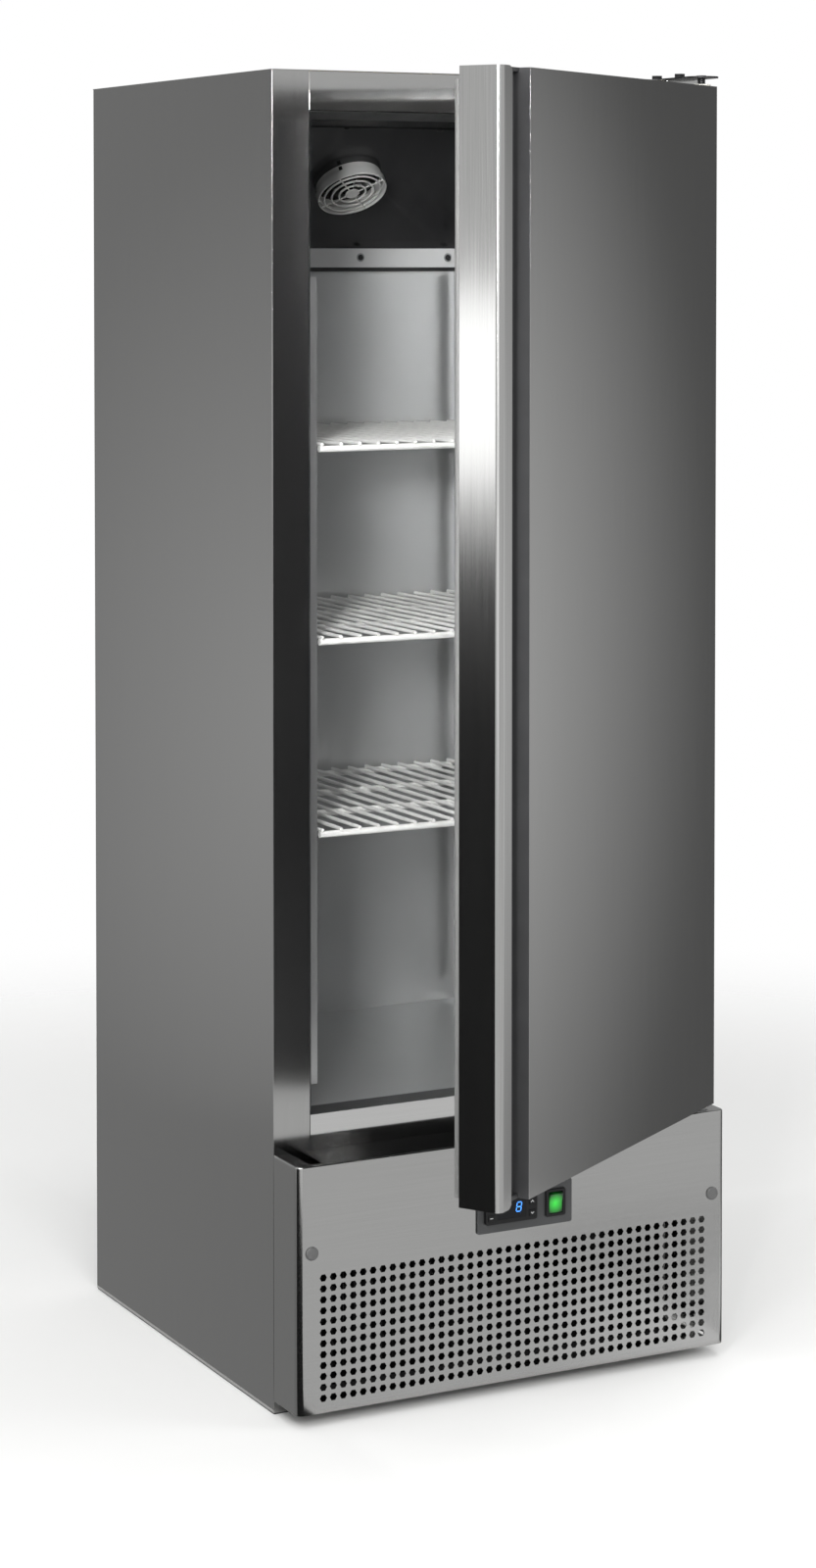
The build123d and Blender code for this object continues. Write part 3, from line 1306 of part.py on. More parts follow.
def refrigerant_pipes():
    shell_z = BASE_SHEET + GROMMET_HEIGHT + COMPRESSOR_FOOT / 2 + COMPRESSOR_HEIGHT / 2
    port_z = shell_z + 4 * COMPRESSOR_SEAM
    left_port = COMPRESSOR_X - COMPRESSOR_RADIUS
    rear_port = COMPRESSOR_Y + COMPRESSOR_RADIUS
    start_x = condenser_tube_ends[1]
    drop_x = (start_x + left_port) / 2
    riser_y = (rear_port + back_inside) / 2
    riser_x = COMPRESSOR_X + COMPRESSOR_RADIUS
    ceiling = unit_top - SHEET
    discharge = pipe(
        [
            (start_x, condenser_ys[1], condenser_zs[0]),
            (drop_x, condenser_ys[1], condenser_zs[0]),
            (drop_x, COMPRESSOR_Y, condenser_zs[0]),
            (drop_x, COMPRESSOR_Y, port_z),
            (left_port, COMPRESSOR_Y, port_z),
        ],
        PIPE_RADIUS,
        PIPE_BEND,
    )
    liquid = pipe(
        [
            (start_x, condenser_ys[0], condenser_zs[0]),
            (DRIER_X, condenser_ys[0], condenser_zs[0]),
            (DRIER_X, DRIER_Y, condenser_zs[0]),
            (DRIER_X, DRIER_Y, DRIER_BOTTOM),
        ],
        PIPE_RADIUS,
        PIPE_BEND,
    )
    drier_top = DRIER_BOTTOM + DRIER_LENGTH
    capillary = rod((DRIER_X, DRIER_Y, drier_top), (DRIER_X, DRIER_Y, ceiling), CAPILLARY_RADIUS)
    suction = pipe(
        [
            (riser_x, riser_y, ceiling),
            (riser_x, riser_y, port_z),
            (COMPRESSOR_X, riser_y, port_z),
            (COMPRESSOR_X, rear_port, port_z),
        ],
        PIPE_RADIUS,
        PIPE_BEND,
    )
    return [discharge, liquid, capillary, suction]


def filter_drier():
    drier_top = DRIER_BOTTOM + DRIER_LENGTH
    body = rod((DRIER_X, DRIER_Y, DRIER_BOTTOM), (DRIER_X, DRIER_Y, drier_top), DRIER_RADIUS)
    return fillet(body.edges().filter_by(GeomType.CIRCLE), DRIER_RADIUS / 2)


pan_y = (back_inside - PAN_BACK_GAP - PAN_DEPTH, back_inside - PAN_BACK_GAP)


def condensate_pan():
    x_span = (PAN_X - PAN_WIDTH / 2, PAN_X + PAN_WIDTH / 2)
    tray = block(x_span, pan_y, (BASE_SHEET, BASE_SHEET + PAN_HEIGHT))
    return tray - block(
        (x_span[0] + PAN_WALL, x_span[1] - PAN_WALL),
        (pan_y[0] + PAN_WALL, pan_y[1] - PAN_WALL),
        (BASE_SHEET + PAN_WALL, BASE_SHEET + PAN_HEIGHT + PAN_WALL),
    )


def drain_tube():
    middle = (pan_y[0] + pan_y[1]) / 2
    low, high = BASE_SHEET + PAN_HEIGHT / 2, unit_top - SHEET
    tube = rod((PAN_X, middle, low), (PAN_X, middle, high), DRAIN_RADIUS)
    return tube - rod((PAN_X, middle, low), (PAN_X, middle, high), DRAIN_BORE)


def junction_box():
    width, depth, height = JUNCTION_BOX
    return block(
        (wall_inside - width, wall_inside),
        (JUNCTION_BOX_Y - depth / 2, JUNCTION_BOX_Y + depth / 2),
        (JUNCTION_BOX_BOTTOM, JUNCTION_BOX_BOTTOM + height),
    )


def cable_gland():
    seat, guard_back = back_inside, back - SHEET
    gland = rod((GLAND_X, guard_back - GLAND_LENGTH, GLAND_Z), (GLAND_X, guard_back, GLAND_Z), GLAND_RADIUS)
    gland += rod((GLAND_X, seat - GLAND_FLANGE_DEPTH, GLAND_Z), (GLAND_X, seat, GLAND_Z), GLAND_FLANGE)
    return gland - rod((GLAND_X, guard_back - GLAND_LENGTH, GLAND_Z), (GLAND_X, back, GLAND_Z), GLAND_BORE)


os.makedirs("parts", exist_ok=True)

right_side = side_panel() - lower_bolt_holes()
save("base_pan", base_pan())
save("side_panel_left", side_panel().mirror(Plane.YZ))
save("side_panel_right", right_side)
top_sheet = block((-half_width, half_width), (front, back), (top_under, CABINET_HEIGHT))
save("top_panel", top_sheet - top_bolt_holes())
save("back_panel", back_panel())
save("rear_guard", rear_guard())
save("frame_header", frame_header())
save("frame_sill", frame_sill())
save("insulation", *insulation())
save("inner_liner", inner_liner())
save("breaker_strips", *breaker_strips())

uprights = [upright for front_y in upright_fronts for upright in both_sides(shelf_upright(front_y))]
clips = [
    clip
    for clip_top in clip_tops()
    for front_y in upright_fronts
    for clip in both_sides(shelf_clip(front_y, clip_top))
]
save("shelf_uprights", *uprights)
save("shelf_clips", *clips)
for name, height in zip(("shelf_lower", "shelf_middle", "shelf_upper"), SHELF_HEIGHTS):
    save(name, wire_shelf(height))

save("evaporator_cover", evaporator_cover())
save("drip_channel", drip_channel())
save("cover_screws", *cover_screws())
save("evaporator_fins", *evaporator_fins())
save("evaporator_tubes", evaporator_tubes())
save("evaporator_fan_guard", evaporator_fan_guard())
save("evaporator_fan_motor", cooler_motor())
save("evaporator_fan_blade", cooler_blade())

save("kick_panel", kick_panel())
save("kick_brackets", *both_sides(kick_bracket()))
save("kick_screws", *both_sides(kick_screw()))
save("control_bezel", control_bezel())
save("controller_case", controller_case())
save("controller_window", controller_window())
for name, place in key_places.items():
    save(name, controller_key(place))
save("switch_housing", switch_housing())
save("switch_rocker", switch_rocker())

save("compressor", compressor())
save("compressor_grommets", *compressor_grommets())
save("condenser_fins", *condenser_fins())
save("condenser_tubes", condenser_tubes())
save("condenser_fan_shroud", condenser_fan_shroud())
save("condenser_fan_motor", condenser_fan_motor())
save("condenser_fan_blade", condenser_fan_blade())
save("refrigerant_pipes", *refrigerant_pipes())
save("filter_drier", filter_drier())
save("condensate_pan", condensate_pan())
save("drain_tube", drain_tube())
save("junction_box", junction_box())
save("cable_gland", cable_gland())

save("top_hinge_bracket", top_hinge_bracket())
save("bottom_hinge_bracket", bottom_hinge_bracket())
save("hinge_pins", *hinge_pins())
bolts = [hex_bolt(foot, (0, 0, 1)) for foot in top_bolt_feet()]
bolts += [hex_bolt(foot, (0, -1, 0)) for foot in lower_bolt_feet()]
save("hinge_bolts", *bolts)

save("door_skin", opened(door_skin()))
save("door_handle_profile", opened(door_handle_profile()))
save("door_foam", opened(door_foam()))
save("door_inner_panel", opened(door_inner_panel()))
save("door_gasket", *[opened(length) for length in door_gasket()])
save("door_end_caps", *[opened(cap) for cap in door_end_caps()])
save("door_bushes", *[opened(bush) for bush in door_bushes()])
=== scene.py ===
import bpy
import bmesh
import math
from mathutils import Matrix, Vector


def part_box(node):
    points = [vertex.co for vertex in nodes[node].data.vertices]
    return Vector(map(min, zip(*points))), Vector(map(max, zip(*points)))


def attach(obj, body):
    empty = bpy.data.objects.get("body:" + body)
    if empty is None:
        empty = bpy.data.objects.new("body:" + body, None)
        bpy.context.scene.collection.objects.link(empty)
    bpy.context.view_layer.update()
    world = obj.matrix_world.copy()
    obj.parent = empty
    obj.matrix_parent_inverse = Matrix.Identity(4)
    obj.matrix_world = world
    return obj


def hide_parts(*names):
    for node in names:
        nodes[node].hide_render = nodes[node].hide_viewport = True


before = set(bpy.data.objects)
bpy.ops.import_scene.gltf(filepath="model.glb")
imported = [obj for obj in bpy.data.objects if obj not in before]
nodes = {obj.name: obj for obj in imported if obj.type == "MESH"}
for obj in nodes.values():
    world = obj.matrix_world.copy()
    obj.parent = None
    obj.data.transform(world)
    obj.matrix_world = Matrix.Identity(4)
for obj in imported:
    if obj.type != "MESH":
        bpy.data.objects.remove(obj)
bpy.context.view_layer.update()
scene = bpy.context.scene
scene.view_settings.view_transform = "Standard"
mm = 0.001  # the frame is in metres, most sizes below are in mm

# camera, solved from the photograph's straight edges
cameraView = {"lens": 77.52, "sensor": 36, "place": (-2.0778, -4.0497, 1.4400), "tilt": 88.0, "turn": -27.487,
              "shift": -0.2614, "farthest": 60}


def setCamera(view):
    data = bpy.data.cameras.new("viewCamera")
    data.lens = view["lens"]
    data.sensor_width = view["sensor"]
    data.shift_y = view["shift"]
    data.clip_end = view["farthest"]
    camera = bpy.data.objects.new("viewCamera", data)
    camera.location = view["place"]
    camera.rotation_euler = (math.radians(view["tilt"]), 0, math.radians(view["turn"]))
    scene.collection.objects.link(camera)
    scene.camera = camera


setCamera(cameraView)
print("camera set")


# materials

def hexColour(text):
    parts = [int(text[i:i + 2], 16) / 255 for i in (1, 3, 5)]
    return [c / 12.92 if c <= 0.04045 else ((c + 0.055) / 1.055) ** 2.4 for c in parts] + [1.0]


def setInputs(tree, node, inputs):  # a value is set, a socket is linked
    for key, value in inputs.items():
        if isinstance(value, bpy.types.NodeSocket):
            tree.links.new(value, node.inputs[key])
        else:
            node.inputs[key].default_value = value


def addNode(tree, kind, inputs=None, **settings):
    node = tree.nodes.new(kind)
    for name, value in settings.items():
        setattr(node, name, value)
    setInputs(tree, node, inputs or {})
    return node


def startMaterial(name, constants):
    material = bpy.data.materials.new(name)
    material.use_nodes = True
    tree = material.node_tree
    shader = tree.nodes["Principled BSDF"]
    setInputs(tree, shader, constants)
    place = addNode(tree, "ShaderNodeTexCoord").outputs["Object"]
    return material, tree, shader, place


def shadeBy(tree, shader, pattern, dark, light, low, high):  # one pattern drives tone and roughness
    tones = {0: pattern, 6: hexColour(dark), 7: hexColour(light)}
    tone = addNode(tree, "ShaderNodeMix", tones, data_type="RGBA")
    rough = addNode(tree, "ShaderNodeMapRange", {"Value": pattern, "To Min": low, "To Max": high})
    setInputs(tree, shader, {"Base Color": tone.outputs[2], "Roughness": rough.outputs["Result"]})


def fadeFrom(tree, place, centre, reach):  # 1 at the centre, down to 0 at the reach, in metres
    scale = [1 / r for r in reach]
    shift = [-c * s for c, s in zip(centre, scale)]
    centred = addNode(tree, "ShaderNodeMapping", {"Vector": place, "Location": shift, "Scale": scale})
    ball = addNode(tree, "ShaderNodeTexGradient", {"Vector": centred.outputs[0]}, gradient_type="SPHERICAL")
    return ball.outputs["Fac"]


# satin stainless sheet, ground with a belt: fine straight lines and soft reflections
# the real lines are near 0.1 mm apart; here they are drawn some eight times coarser, so that they show
def brushedSteel(name, dark, light, line, along, low, high):
    material, tree, shader, place = startMaterial(name, {"Metallic": 1.0})
    stretch = 150  # a line's length over its width
    grain = [1000 / line] * 3
    grain["XYZ".index(along)] = 1000 / (line * stretch)
    lines = addNode(tree, "ShaderNodeMapping", {"Vector": place, "Scale": grain})
    scratch = addNode(tree, "ShaderNodeTexNoise", {"Vector": lines.outputs[0], "Scale": 1.0, "Detail": 3.0})
    shadeBy(tree, shader, scratch.outputs[0], dark, light, low, high)
    return material


# 2B stainless sheet: smooth rolled finish, clouded a little by wiping
def millSteel(name, dark, light, rough, cloudSize, metallic):
    material, tree, shader, place = startMaterial(name, {"Metallic": metallic})
    cloud = addNode(tree, "ShaderNodeTexNoise", {"Vector": place, "Scale": 1000 / cloudSize, "Detail": 4.0})
    shadeBy(tree, shader, cloud.outputs[0], dark, light, rough - 0.05, rough + 0.05)
    return material


# hot-dip galvanised sheet: flat zinc crystals a centimetre across, each with its own tone and gloss
def galvanisedSheet():
    material, tree, shader, place = startMaterial("galvanisedSheet", {"Metallic": 0.9})
    crystalSize = 12  # mm
    crystal = addNode(tree, "ShaderNodeTexVoronoi", {"Vector": place, "Scale": 1000 / crystalSize})
    draw = addNode(tree, "ShaderNodeSeparateColor", {"Color": crystal.outputs["Color"]})
    tones = {0: draw.outputs[0], 6: hexColour("#9B9EA0"), 7: hexColour("#B0B3B5")}
    tone = addNode(tree, "ShaderNodeMix", tones, data_type="RGBA")
    gloss = addNode(tree, "ShaderNodeMapRange", {"Value": draw.outputs[1], "To Min": 0.38, "To Max": 0.55})
    setInputs(tree, shader, {"Base Color": tone.outputs[2], "Roughness": gloss.outputs["Result"]})
    return material


# moulded or coated plastic: a fine spark-eroded grain and a faint change of tone
def mouldedPlastic(name, dark, light, rough, grain, strength, specular=0.5):
    material, tree, shader, place = startMaterial(name, {"Specular IOR Level": specular})
    cloudSize, pitDepth = 25, 0.2  # mm
    cloud = addNode(tree, "ShaderNodeTexNoise", {"Vector": place, "Scale": 1000 / cloudSize, "Detail": 3.0})
    shadeBy(tree, shader, cloud.outputs[0], dark, light, rough - 0.06, rough + 0.06)
    pits = addNode(tree, "ShaderNodeTexNoise", {"Vector": place, "Scale": 1000 / grain, "Detail": 2.0})
    relief = {"Height": pits.outputs[0], "Strength": strength, "Distance": pitDepth * mm}
    setInputs(tree, shader, {"Normal": addNode(tree, "ShaderNodeBump", relief).outputs["Normal"]})
    return material


# polished dark sheet over the cooler: near-black, glossy, with faint drawn streaks
def darkPolishedSheet():
    material, tree, shader, place = startMaterial("darkPolishedSheet", {"Metallic": 0.3})
    streakScale = (45, 3, 3)  # streaks some 22 mm wide and 330 mm long
    streak = addNode(tree, "ShaderNodeMapping", {"Vector": place, "Scale": streakScale})
    smear = addNode(tree, "ShaderNodeTexNoise", {"Vector": streak.outputs[0], "Scale": 1.0, "Detail": 4.0})
    shadeBy(tree, shader, smear.outputs[0], "#19191A", "#404042", 0.1, 0.265)
    return material


# plain drawn, cast or coated metals: a soft change of tone and roughness over a few millimetres
def plainMetal(name, dark, light, rough, size, metallic=1.0):
    material, tree, shader, place = startMaterial(name, {"Metallic": metallic})
    cloud = addNode(tree, "ShaderNodeTexNoise", {"Vector": place, "Scale": 1000 / size, "Detail": 4.0})
    shadeBy(tree, shader, cloud.outputs[0], dark, light, rough - 0.08, rough + 0.08)
    return material


# rigid foam with its cells cut open: matt, with small round pits
def cutFoam():
    material, tree, shader, place = startMaterial("cutFoam", {})
    cellSize, cellDepth = 3, 1  # mm
    cells = addNode(tree, "ShaderNodeTexVoronoi", {"Vector": place, "Scale": 1000 / cellSize})
    shadeBy(tree, shader, cells.outputs["Distance"], "#CDB98B", "#E4D6AE", 0.85, 0.98)
    relief = {"Height": cells.outputs["Distance"], "Strength": 0.3, "Distance": cellDepth * mm}
    setInputs(tree, shader, {"Normal": addNode(tree, "ShaderNodeBump", relief).outputs["Normal"]})
    return material


# lit plastic: the lamp behind it is stronger in the middle
def litLens(name, dark, light, glow, strength, centre, radius):
    material, tree, shader, place = startMaterial(name, {"Roughness": 0.3, "Emission Strength": strength})
    lamp = fadeFrom(tree, place, centre, (radius,) * 3)
    for socket, bright in (("Base Color", light), ("Emission Color", glow)):
        tones = {0: lamp, 6: hexColour(dark), 7: hexColour(bright)}
        setInputs(tree, shader, {socket: addNode(tree, "ShaderNodeMix", tones, data_type="RGBA").outputs[2]})
    return material


finishes = {
    "upright": brushedSteel("brushedStainlessUpright", "#989897", "#A0A09F", 0.8, "Z", 0.12, 0.18),
    "level": brushedSteel("brushedStainlessLevel", "#989897", "#A0A09F", 0.8, "X", 0.05, 0.09),
    "kick": brushedSteel("brushedStainlessKick", "#989897", "#A0A09F", 0.8, "X", 0.13, 0.18),
    # the sill's steel is a lighter copy of the level steel: painted light on the sill
    "sill": brushedSteel("brushedStainlessSill", "#B0B0AF", "#B9B9B8", 0.8, "X", 0.05, 0.09),
    "handle": brushedSteel("brushedStainlessHandle", "#939392", "#A9A9A8", 0.9, "Z", 0.11, 0.19),
    "liner": millSteel("millStainless", "#AEAFAF", "#C2C3C3", 0.335, 160, 0.75),
    "channel": millSteel("brightRolledStainless", "#BEBEBE", "#CCCCCC", 0.335, 120, 0.7),
    # the ceiling's steel is darker than the liner's: painted shade on the overhead faces, besides the real
    # polish
    "ceiling": millSteel("polishedStainless", "#8E8F8F", "#9A9B9B", 0.14, 200, 1.0),
    # the door's inner sheet is a darker copy of the mill steel: painted shade, as the door's inner side lies
    # in shadow
    "doorLiner": millSteel("millStainlessDark", "#7C7C7D", "#8A8A8B", 0.215, 220, 1.0),
    "zincSheet": galvanisedSheet(),
    "cover": darkPolishedSheet(),
    "wireCoat": mouldedPlastic("whiteWireCoat", "#DADAD8", "#EDEDEB", 0.36, 1.5, 0.05),
    # light grey ABS with its tone lifted above the real grey: painted light, as the guard sits in shade
    "guard": mouldedPlastic("lightGreyAbs", "#C4C4C2", "#D6D6D4", 0.42, 0.9, 0.08),
    "black": mouldedPlastic("blackAbs", "#0F0F10", "#1B1B1C", 0.42, 0.8, 0.12, 0.22),
    "bezel": mouldedPlastic("darkGreyAbs", "#343536", "#3F4041", 0.5, 0.8, 0.15),
    # dark PVC whose near-black tone is partly painted shade: the breaker strips lie in shadow under the
    # header
    "strip": mouldedPlastic("darkExtrudedPvc", "#262627", "#303031", 0.45, 2.0, 0.05),
    # dark grey for the finger groove: painted shade in the recess
    "groove": mouldedPlastic("greyFoilLining", "#383839", "#424243", 0.36, 1.5, 0.04),
    "nylon": mouldedPlastic("naturalNylon", "#D2D0C6", "#E2E0D8", 0.45, 1.0, 0.05),
    "gasket": mouldedPlastic("greySealPvc", "#6A6A69", "#7A7A79", 0.38, 1.2, 0.05),
    "rubber": mouldedPlastic("blackRubber", "#141414", "#222222", 0.75, 1.5, 0.2),
    "lens": mouldedPlastic("smokedLens", "#07080B", "#0C0E13", 0.12, 3.0, 0.01, 0.22),
    "mark": mouldedPlastic("whitePrint", "#C9CACB", "#DCDDDE", 0.5, 1.0, 0.02),
    "cap": mouldedPlastic("greyCapPlastic", "#4C4C4C", "#595959", 0.5, 1.0, 0.05),
    "foam": cutFoam(),
    "zincBolt": plainMetal("zincPlatedSteel", "#7C7D7E", "#A5A6A6", 0.37, 4),
    "darkBolt": plainMetal("blackenedSteel", "#2A2A2B", "#3C3C3D", 0.4, 4),
    "fin": plainMetal("bareAluminium", "#B4B6B8", "#CDCFD1", 0.37, 8),
    "copper": plainMetal("drawnCopper", "#9A5A3C", "#BC7650", 0.37, 10),
    "enamel": plainMetal("blackEnamel", "#0E0E0F", "#1C1C1D", 0.35, 20, 0.0),
    # black coat, partly painted shade: it darkens the machine space seen through the kick grille
    "blackCoatAndShade": plainMetal("blackCoatedSteel", "#131314", "#1E1E1F", 0.6, 12, 0.0),
    "fanSteel": plainMetal("paintedFanSteel", "#3A3B3C", "#4A4B4C", 0.45, 15, 0.2),
    "green": litLens("litGreenLens", "#04260A", "#27B636", "#35D340", 0.6, (0.051, -0.364, 0.237), 0.0138),
    "blue": litLens("litBlueSegment", "#1558E0", "#58A8FF", "#3F96FF", 1.6, (-0.0037, -0.367, 0.240), 0.02),
}
print("materials made:", len(finishes))


# making pieces

def bendPath(corners, steps=6):  # corners as (x, y, fold radius)
    path = []
    for i, (x, y, radius) in enumerate(corners):
        here = Vector((x, y))
        if radius == 0 or i in (0, len(corners) - 1):
            path.append(here)
            continue
        back = (Vector(corners[i - 1][:2]) - here).normalized()
        ahead = (Vector(corners[i + 1][:2]) - here).normalized()
        half = back.angle(ahead) / 2
        centre = here + (back + ahead).normalized() * (radius / math.sin(half))
        start = here + back * (radius / math.tan(half)) - centre
        end = here + ahead * (radius / math.tan(half)) - centre
        turn = math.atan2(start.x * end.y - start.y * end.x, start.dot(end))
        path += [centre + Matrix.Rotation(turn * s / steps, 2) @ start for s in range(steps + 1)]
    return path


def offsetPath(path, gap):  # to the left of the way along the path
    moved = []
    for i, here in enumerate(path):
        after = (path[i + 1] - here).normalized() if i < len(path) - 1 else None
        before = (here - path[i - 1]).normalized() if i else after
        after = after or before
        along = (before + after).normalized()
        side = Vector((-along.y, along.x))
        moved.append(here + side * (gap / side.dot(Vector((-after.y, after.x)))))
    return moved


def foldedSheet(corners, gap, ends, axis="Z", steps=6):
    path = bendPath(corners, steps)
    bm = bmesh.new()
    rows = []
    for p, q in zip(path, offsetPath(path, gap)):
        low, high = ends(p) if callable(ends) else ends
        row = [(p, low), (p, high), (q, high), (q, low)]
        spots = [(v.x, v.y, h) if axis == "Z" else (h, v.x, v.y) for v, h in row]
        rows.append([bm.verts.new(Vector(s) * mm) for s in spots])
    for a, b in zip(rows, rows[1:]):
        for k in range(4):
            bm.faces.new((a[k], b[k], b[(k + 1) % 4], a[(k + 1) % 4]))
    bm.faces.new(rows[0])
    bm.faces.new(rows[-1][::-1])
    return bm


def slab(bm, x, y, z):
    ends = [(i, j, k) for i in (0, 1) for j in (0, 1) for k in (0, 1)]
    corner = [bm.verts.new((x[i] * mm, y[j] * mm, z[k] * mm)) for i, j, k in ends]
    for face in ((0, 1, 3, 2), (4, 6, 7, 5), (0, 4, 5, 1), (2, 3, 7, 6), (0, 2, 6, 4), (1, 5, 7, 3)):
        bm.faces.new([corner[c] for c in face])


def plate(bm, outline, y):  # outline in x and z, a flat plate between two depths
    rings = [[bm.verts.new(Vector((x, depth, z)) * mm) for x, z in outline] for depth in y]
    bm.faces.new(rings[0])
    bm.faces.new(rings[1][::-1])
    for i in range(len(outline)):
        j = (i + 1) % len(outline)
        bm.faces.new((rings[0][i], rings[1][i], rings[1][j], rings[0][j]))


def roundedOutline(x, z, radius, steps=5):
    spots = []
    for cx, cz, start in ((x[1] - radius, z[1] - radius, 0), (x[0] + radius, z[1] - radius, 90),
                          (x[0] + radius, z[0] + radius, 180), (x[1] - radius, z[0] + radius, 270)):
        for s in range(steps + 1):
            angle = math.radians(start + 90 * s / steps)
            spots.append((cx + radius * math.cos(angle), cz + radius * math.sin(angle)))
    return spots


def frameRings(bm, x, z, section, radius):  # a closed section as (inset, depth) runs round a rectangle
    smallest = 0.6  # corner radius
    rings = []
    for inset, depth in section:
        spanX, spanZ = (x[0] + inset, x[1] - inset), (z[0] + inset, z[1] - inset)
        outline = roundedOutline(spanX, spanZ, max(radius - inset, smallest))
        rings.append([bm.verts.new(Vector((px, depth, pz)) * mm) for px, pz in outline])
    for a, b in zip(rings, rings[1:] + rings[:1]):
        for i in range(len(a)):
            j = (i + 1) % len(a)
            bm.faces.new((a[i], a[j], b[j], b[i]))


def revolve(bm, profile, place, steps, closed=True):  # profile as (radius, height) round the place's z
    rings = []
    for s in range(steps):
        turn = Matrix.Rotation(2 * math.pi * s / steps, 4, "Z")
        rings.append([bm.verts.new(place @ turn @ (Vector((r, 0, h)) * mm)) for r, h in profile])
    count = len(profile) if closed else len(profile) - 1
    for s in range(steps):
        a, b = rings[s], rings[(s + 1) % steps]
        for k in range(count):
            bm.faces.new((a[k], b[k], b[(k + 1) % len(profile)], a[(k + 1) % len(profile)]))
    if not closed:
        for k in (0, -1):
            bm.faces.new([ring[k] for ring in rings])


def meshFrom(name, bm):
    mesh = bpy.data.meshes.new(name)
    bm.to_mesh(mesh)
    bm.free()
    return mesh


def smoothMesh(mesh, sharp):
    mesh.polygons.foreach_set("use_smooth", [True] * len(mesh.polygons))
    mesh.set_sharp_from_angle(angle=math.radians(sharp))
    return mesh


def addObject(name, mesh):
    thing = bpy.data.objects.new(name, mesh)
    scene.collection.objects.link(thing)
    return thing


def plainMesh(holder):  # the mesh as its modifiers leave it; the holder goes
    mesh = bpy.data.meshes.new_from_object(holder.evaluated_get(bpy.context.evaluated_depsgraph_get()))
    bpy.data.objects.remove(holder)
    return mesh


def settle(name, mesh, finish, body, stands):  # a finished mesh becomes a piece of the object
    mesh.materials.clear()
    mesh.materials.append(finish)
    piece = addObject(name, mesh)
    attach(piece, body)
    if stands:
        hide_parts(*stands)
    return piece


def finishPiece(name, bm, finish, body, *stands, bevel=0.0, sharp=35):
    bmesh.ops.recalc_face_normals(bm, faces=bm.faces)
    rough = addObject(name + ".rough", smoothMesh(meshFrom(name, bm), sharp))
    if bevel:
        edge = rough.modifiers.new("edge", "BEVEL")
        edge.width = bevel * mm
        edge.segments = 2
        edge.limit_method = "ANGLE"
        edge.angle_limit = math.radians(sharp)
    even = rough.modifiers.new("even", "WEIGHTED_NORMAL")
    even.keep_sharp = True
    done = plainMesh(rough)
    done.name = name
    return settle(name, done, finish, body, stands)


def thicken(bm, depth):  # a sheet of one layer becomes a closed shell, inwards
    holder = addObject("layer", meshFrom("layer", bm))
    shell = holder.modifiers.new("shell", "SOLIDIFY")
    shell.thickness = depth * mm
    shell.offset = -1.0
    shell.use_even_offset = True
    solid = bmesh.new()
    solid.from_mesh(plainMesh(holder))
    return solid


def cleanCopy(node):  # a CAD node's mesh without the lines inside its flat faces
    flat = math.radians(0.5)
    bm = bmesh.new()
    bm.from_mesh(nodes[node].data)
    bmesh.ops.remove_doubles(bm, verts=bm.verts, dist=1e-6)
    bmesh.ops.dissolve_limit(bm, angle_limit=flat, verts=bm.verts, edges=bm.edges)
    return bm


def refine(node, finish, body="cabinet", bevel=0.0, sharp=35):  # a cleaned copy with broken edges
    return finishPiece(node + "_finished", cleanCopy(node), finish, body, node, bevel=bevel, sharp=sharp)


def newTree(name, sockets):
    tree = bpy.data.node_groups.new(name, "GeometryNodeTree")
    tree.interface.new_socket(name="Geometry", in_out="INPUT", socket_type="NodeSocketGeometry")
    for label, kind in sockets:
        tree.interface.new_socket(name=label, in_out="INPUT", socket_type="NodeSocket" + kind)
    tree.interface.new_socket(name="Geometry", in_out="OUTPUT", socket_type="NodeSocketGeometry")
    return tree, addNode(tree, "NodeGroupInput").outputs


def endTree(tree, geometry, finish):
    solid = addNode(tree, "GeometryNodeRealizeInstances", {"Geometry": geometry})
    painted = addNode(tree, "GeometryNodeSetMaterial", {"Geometry": solid.outputs[0], "Material": finish})
    addNode(tree, "NodeGroupOutput", {0: painted.outputs[0]})


def growMesh(tree, base, values):  # runs the tree on a base mesh and returns a plain mesh
    holder = addObject(tree.name, base)
    modifier = holder.modifiers.new("grow", "NODES")
    modifier.node_group = tree
    for item in tree.interface.items_tree:
        if item.in_out == "INPUT" and item.name in values:
            modifier[item.identifier] = values[item.name]
    return plainMesh(holder)


# casing, its faces in mm as in the CAD

casing = {"half": 310.0, "front": -290.0, "back": 290.0, "top": 1670.0, "foot": 2.0, "sheet": 1.0,
          "stile": 259.0, "stileReturn": 12.0, "stileFold": 1.2, "frontFold": 0.6, "backFold": 2.4,
          "backReturn": 18.0}
header = {"face": -289.7, "rear": -278.0, "low": 1618.5, "high": 1668.8, "half": 258.98, "sheet": 1.0,
          "fold": 2.4}


def sidePanel(side):
    c = casing
    corners = [(c["stile"], c["front"] + c["stileReturn"], 0), (c["stile"], c["front"], c["stileFold"]),
               (c["half"], c["front"], c["frontFold"]), (c["half"], c["back"], c["backFold"]),
               (c["half"] - c["backReturn"], c["back"], 0)]
    ends = (c["foot"], c["top"] - c["sheet"])
    return foldedSheet([(side * x, y, r) for x, y, r in corners], side * c["sheet"], ends)


def headerStrip():
    h = header
    corners = [(h["face"], h["high"], 0), (h["face"], h["low"], h["fold"]), (h["rear"], h["low"], 0)]
    return foldedSheet(corners, h["sheet"], (-h["half"], h["half"]), axis="X")


for side, name in ((-1, "side_panel_left"), (1, "side_panel_right")):
    finishPiece(name + "_sheet", sidePanel(side), finishes["upright"], "cabinet", name)
refine("top_panel", finishes["kick"], bevel=0.3)
finishPiece("frame_header_sheet", headerStrip(), finishes["level"], "cabinet", "frame_header", bevel=0.45)
refine("frame_sill", finishes["sill"])
# the breakers' dark tone is partly painted shade
refine("breaker_strips", finishes["strip"])
print("casing folded")


# kick panel

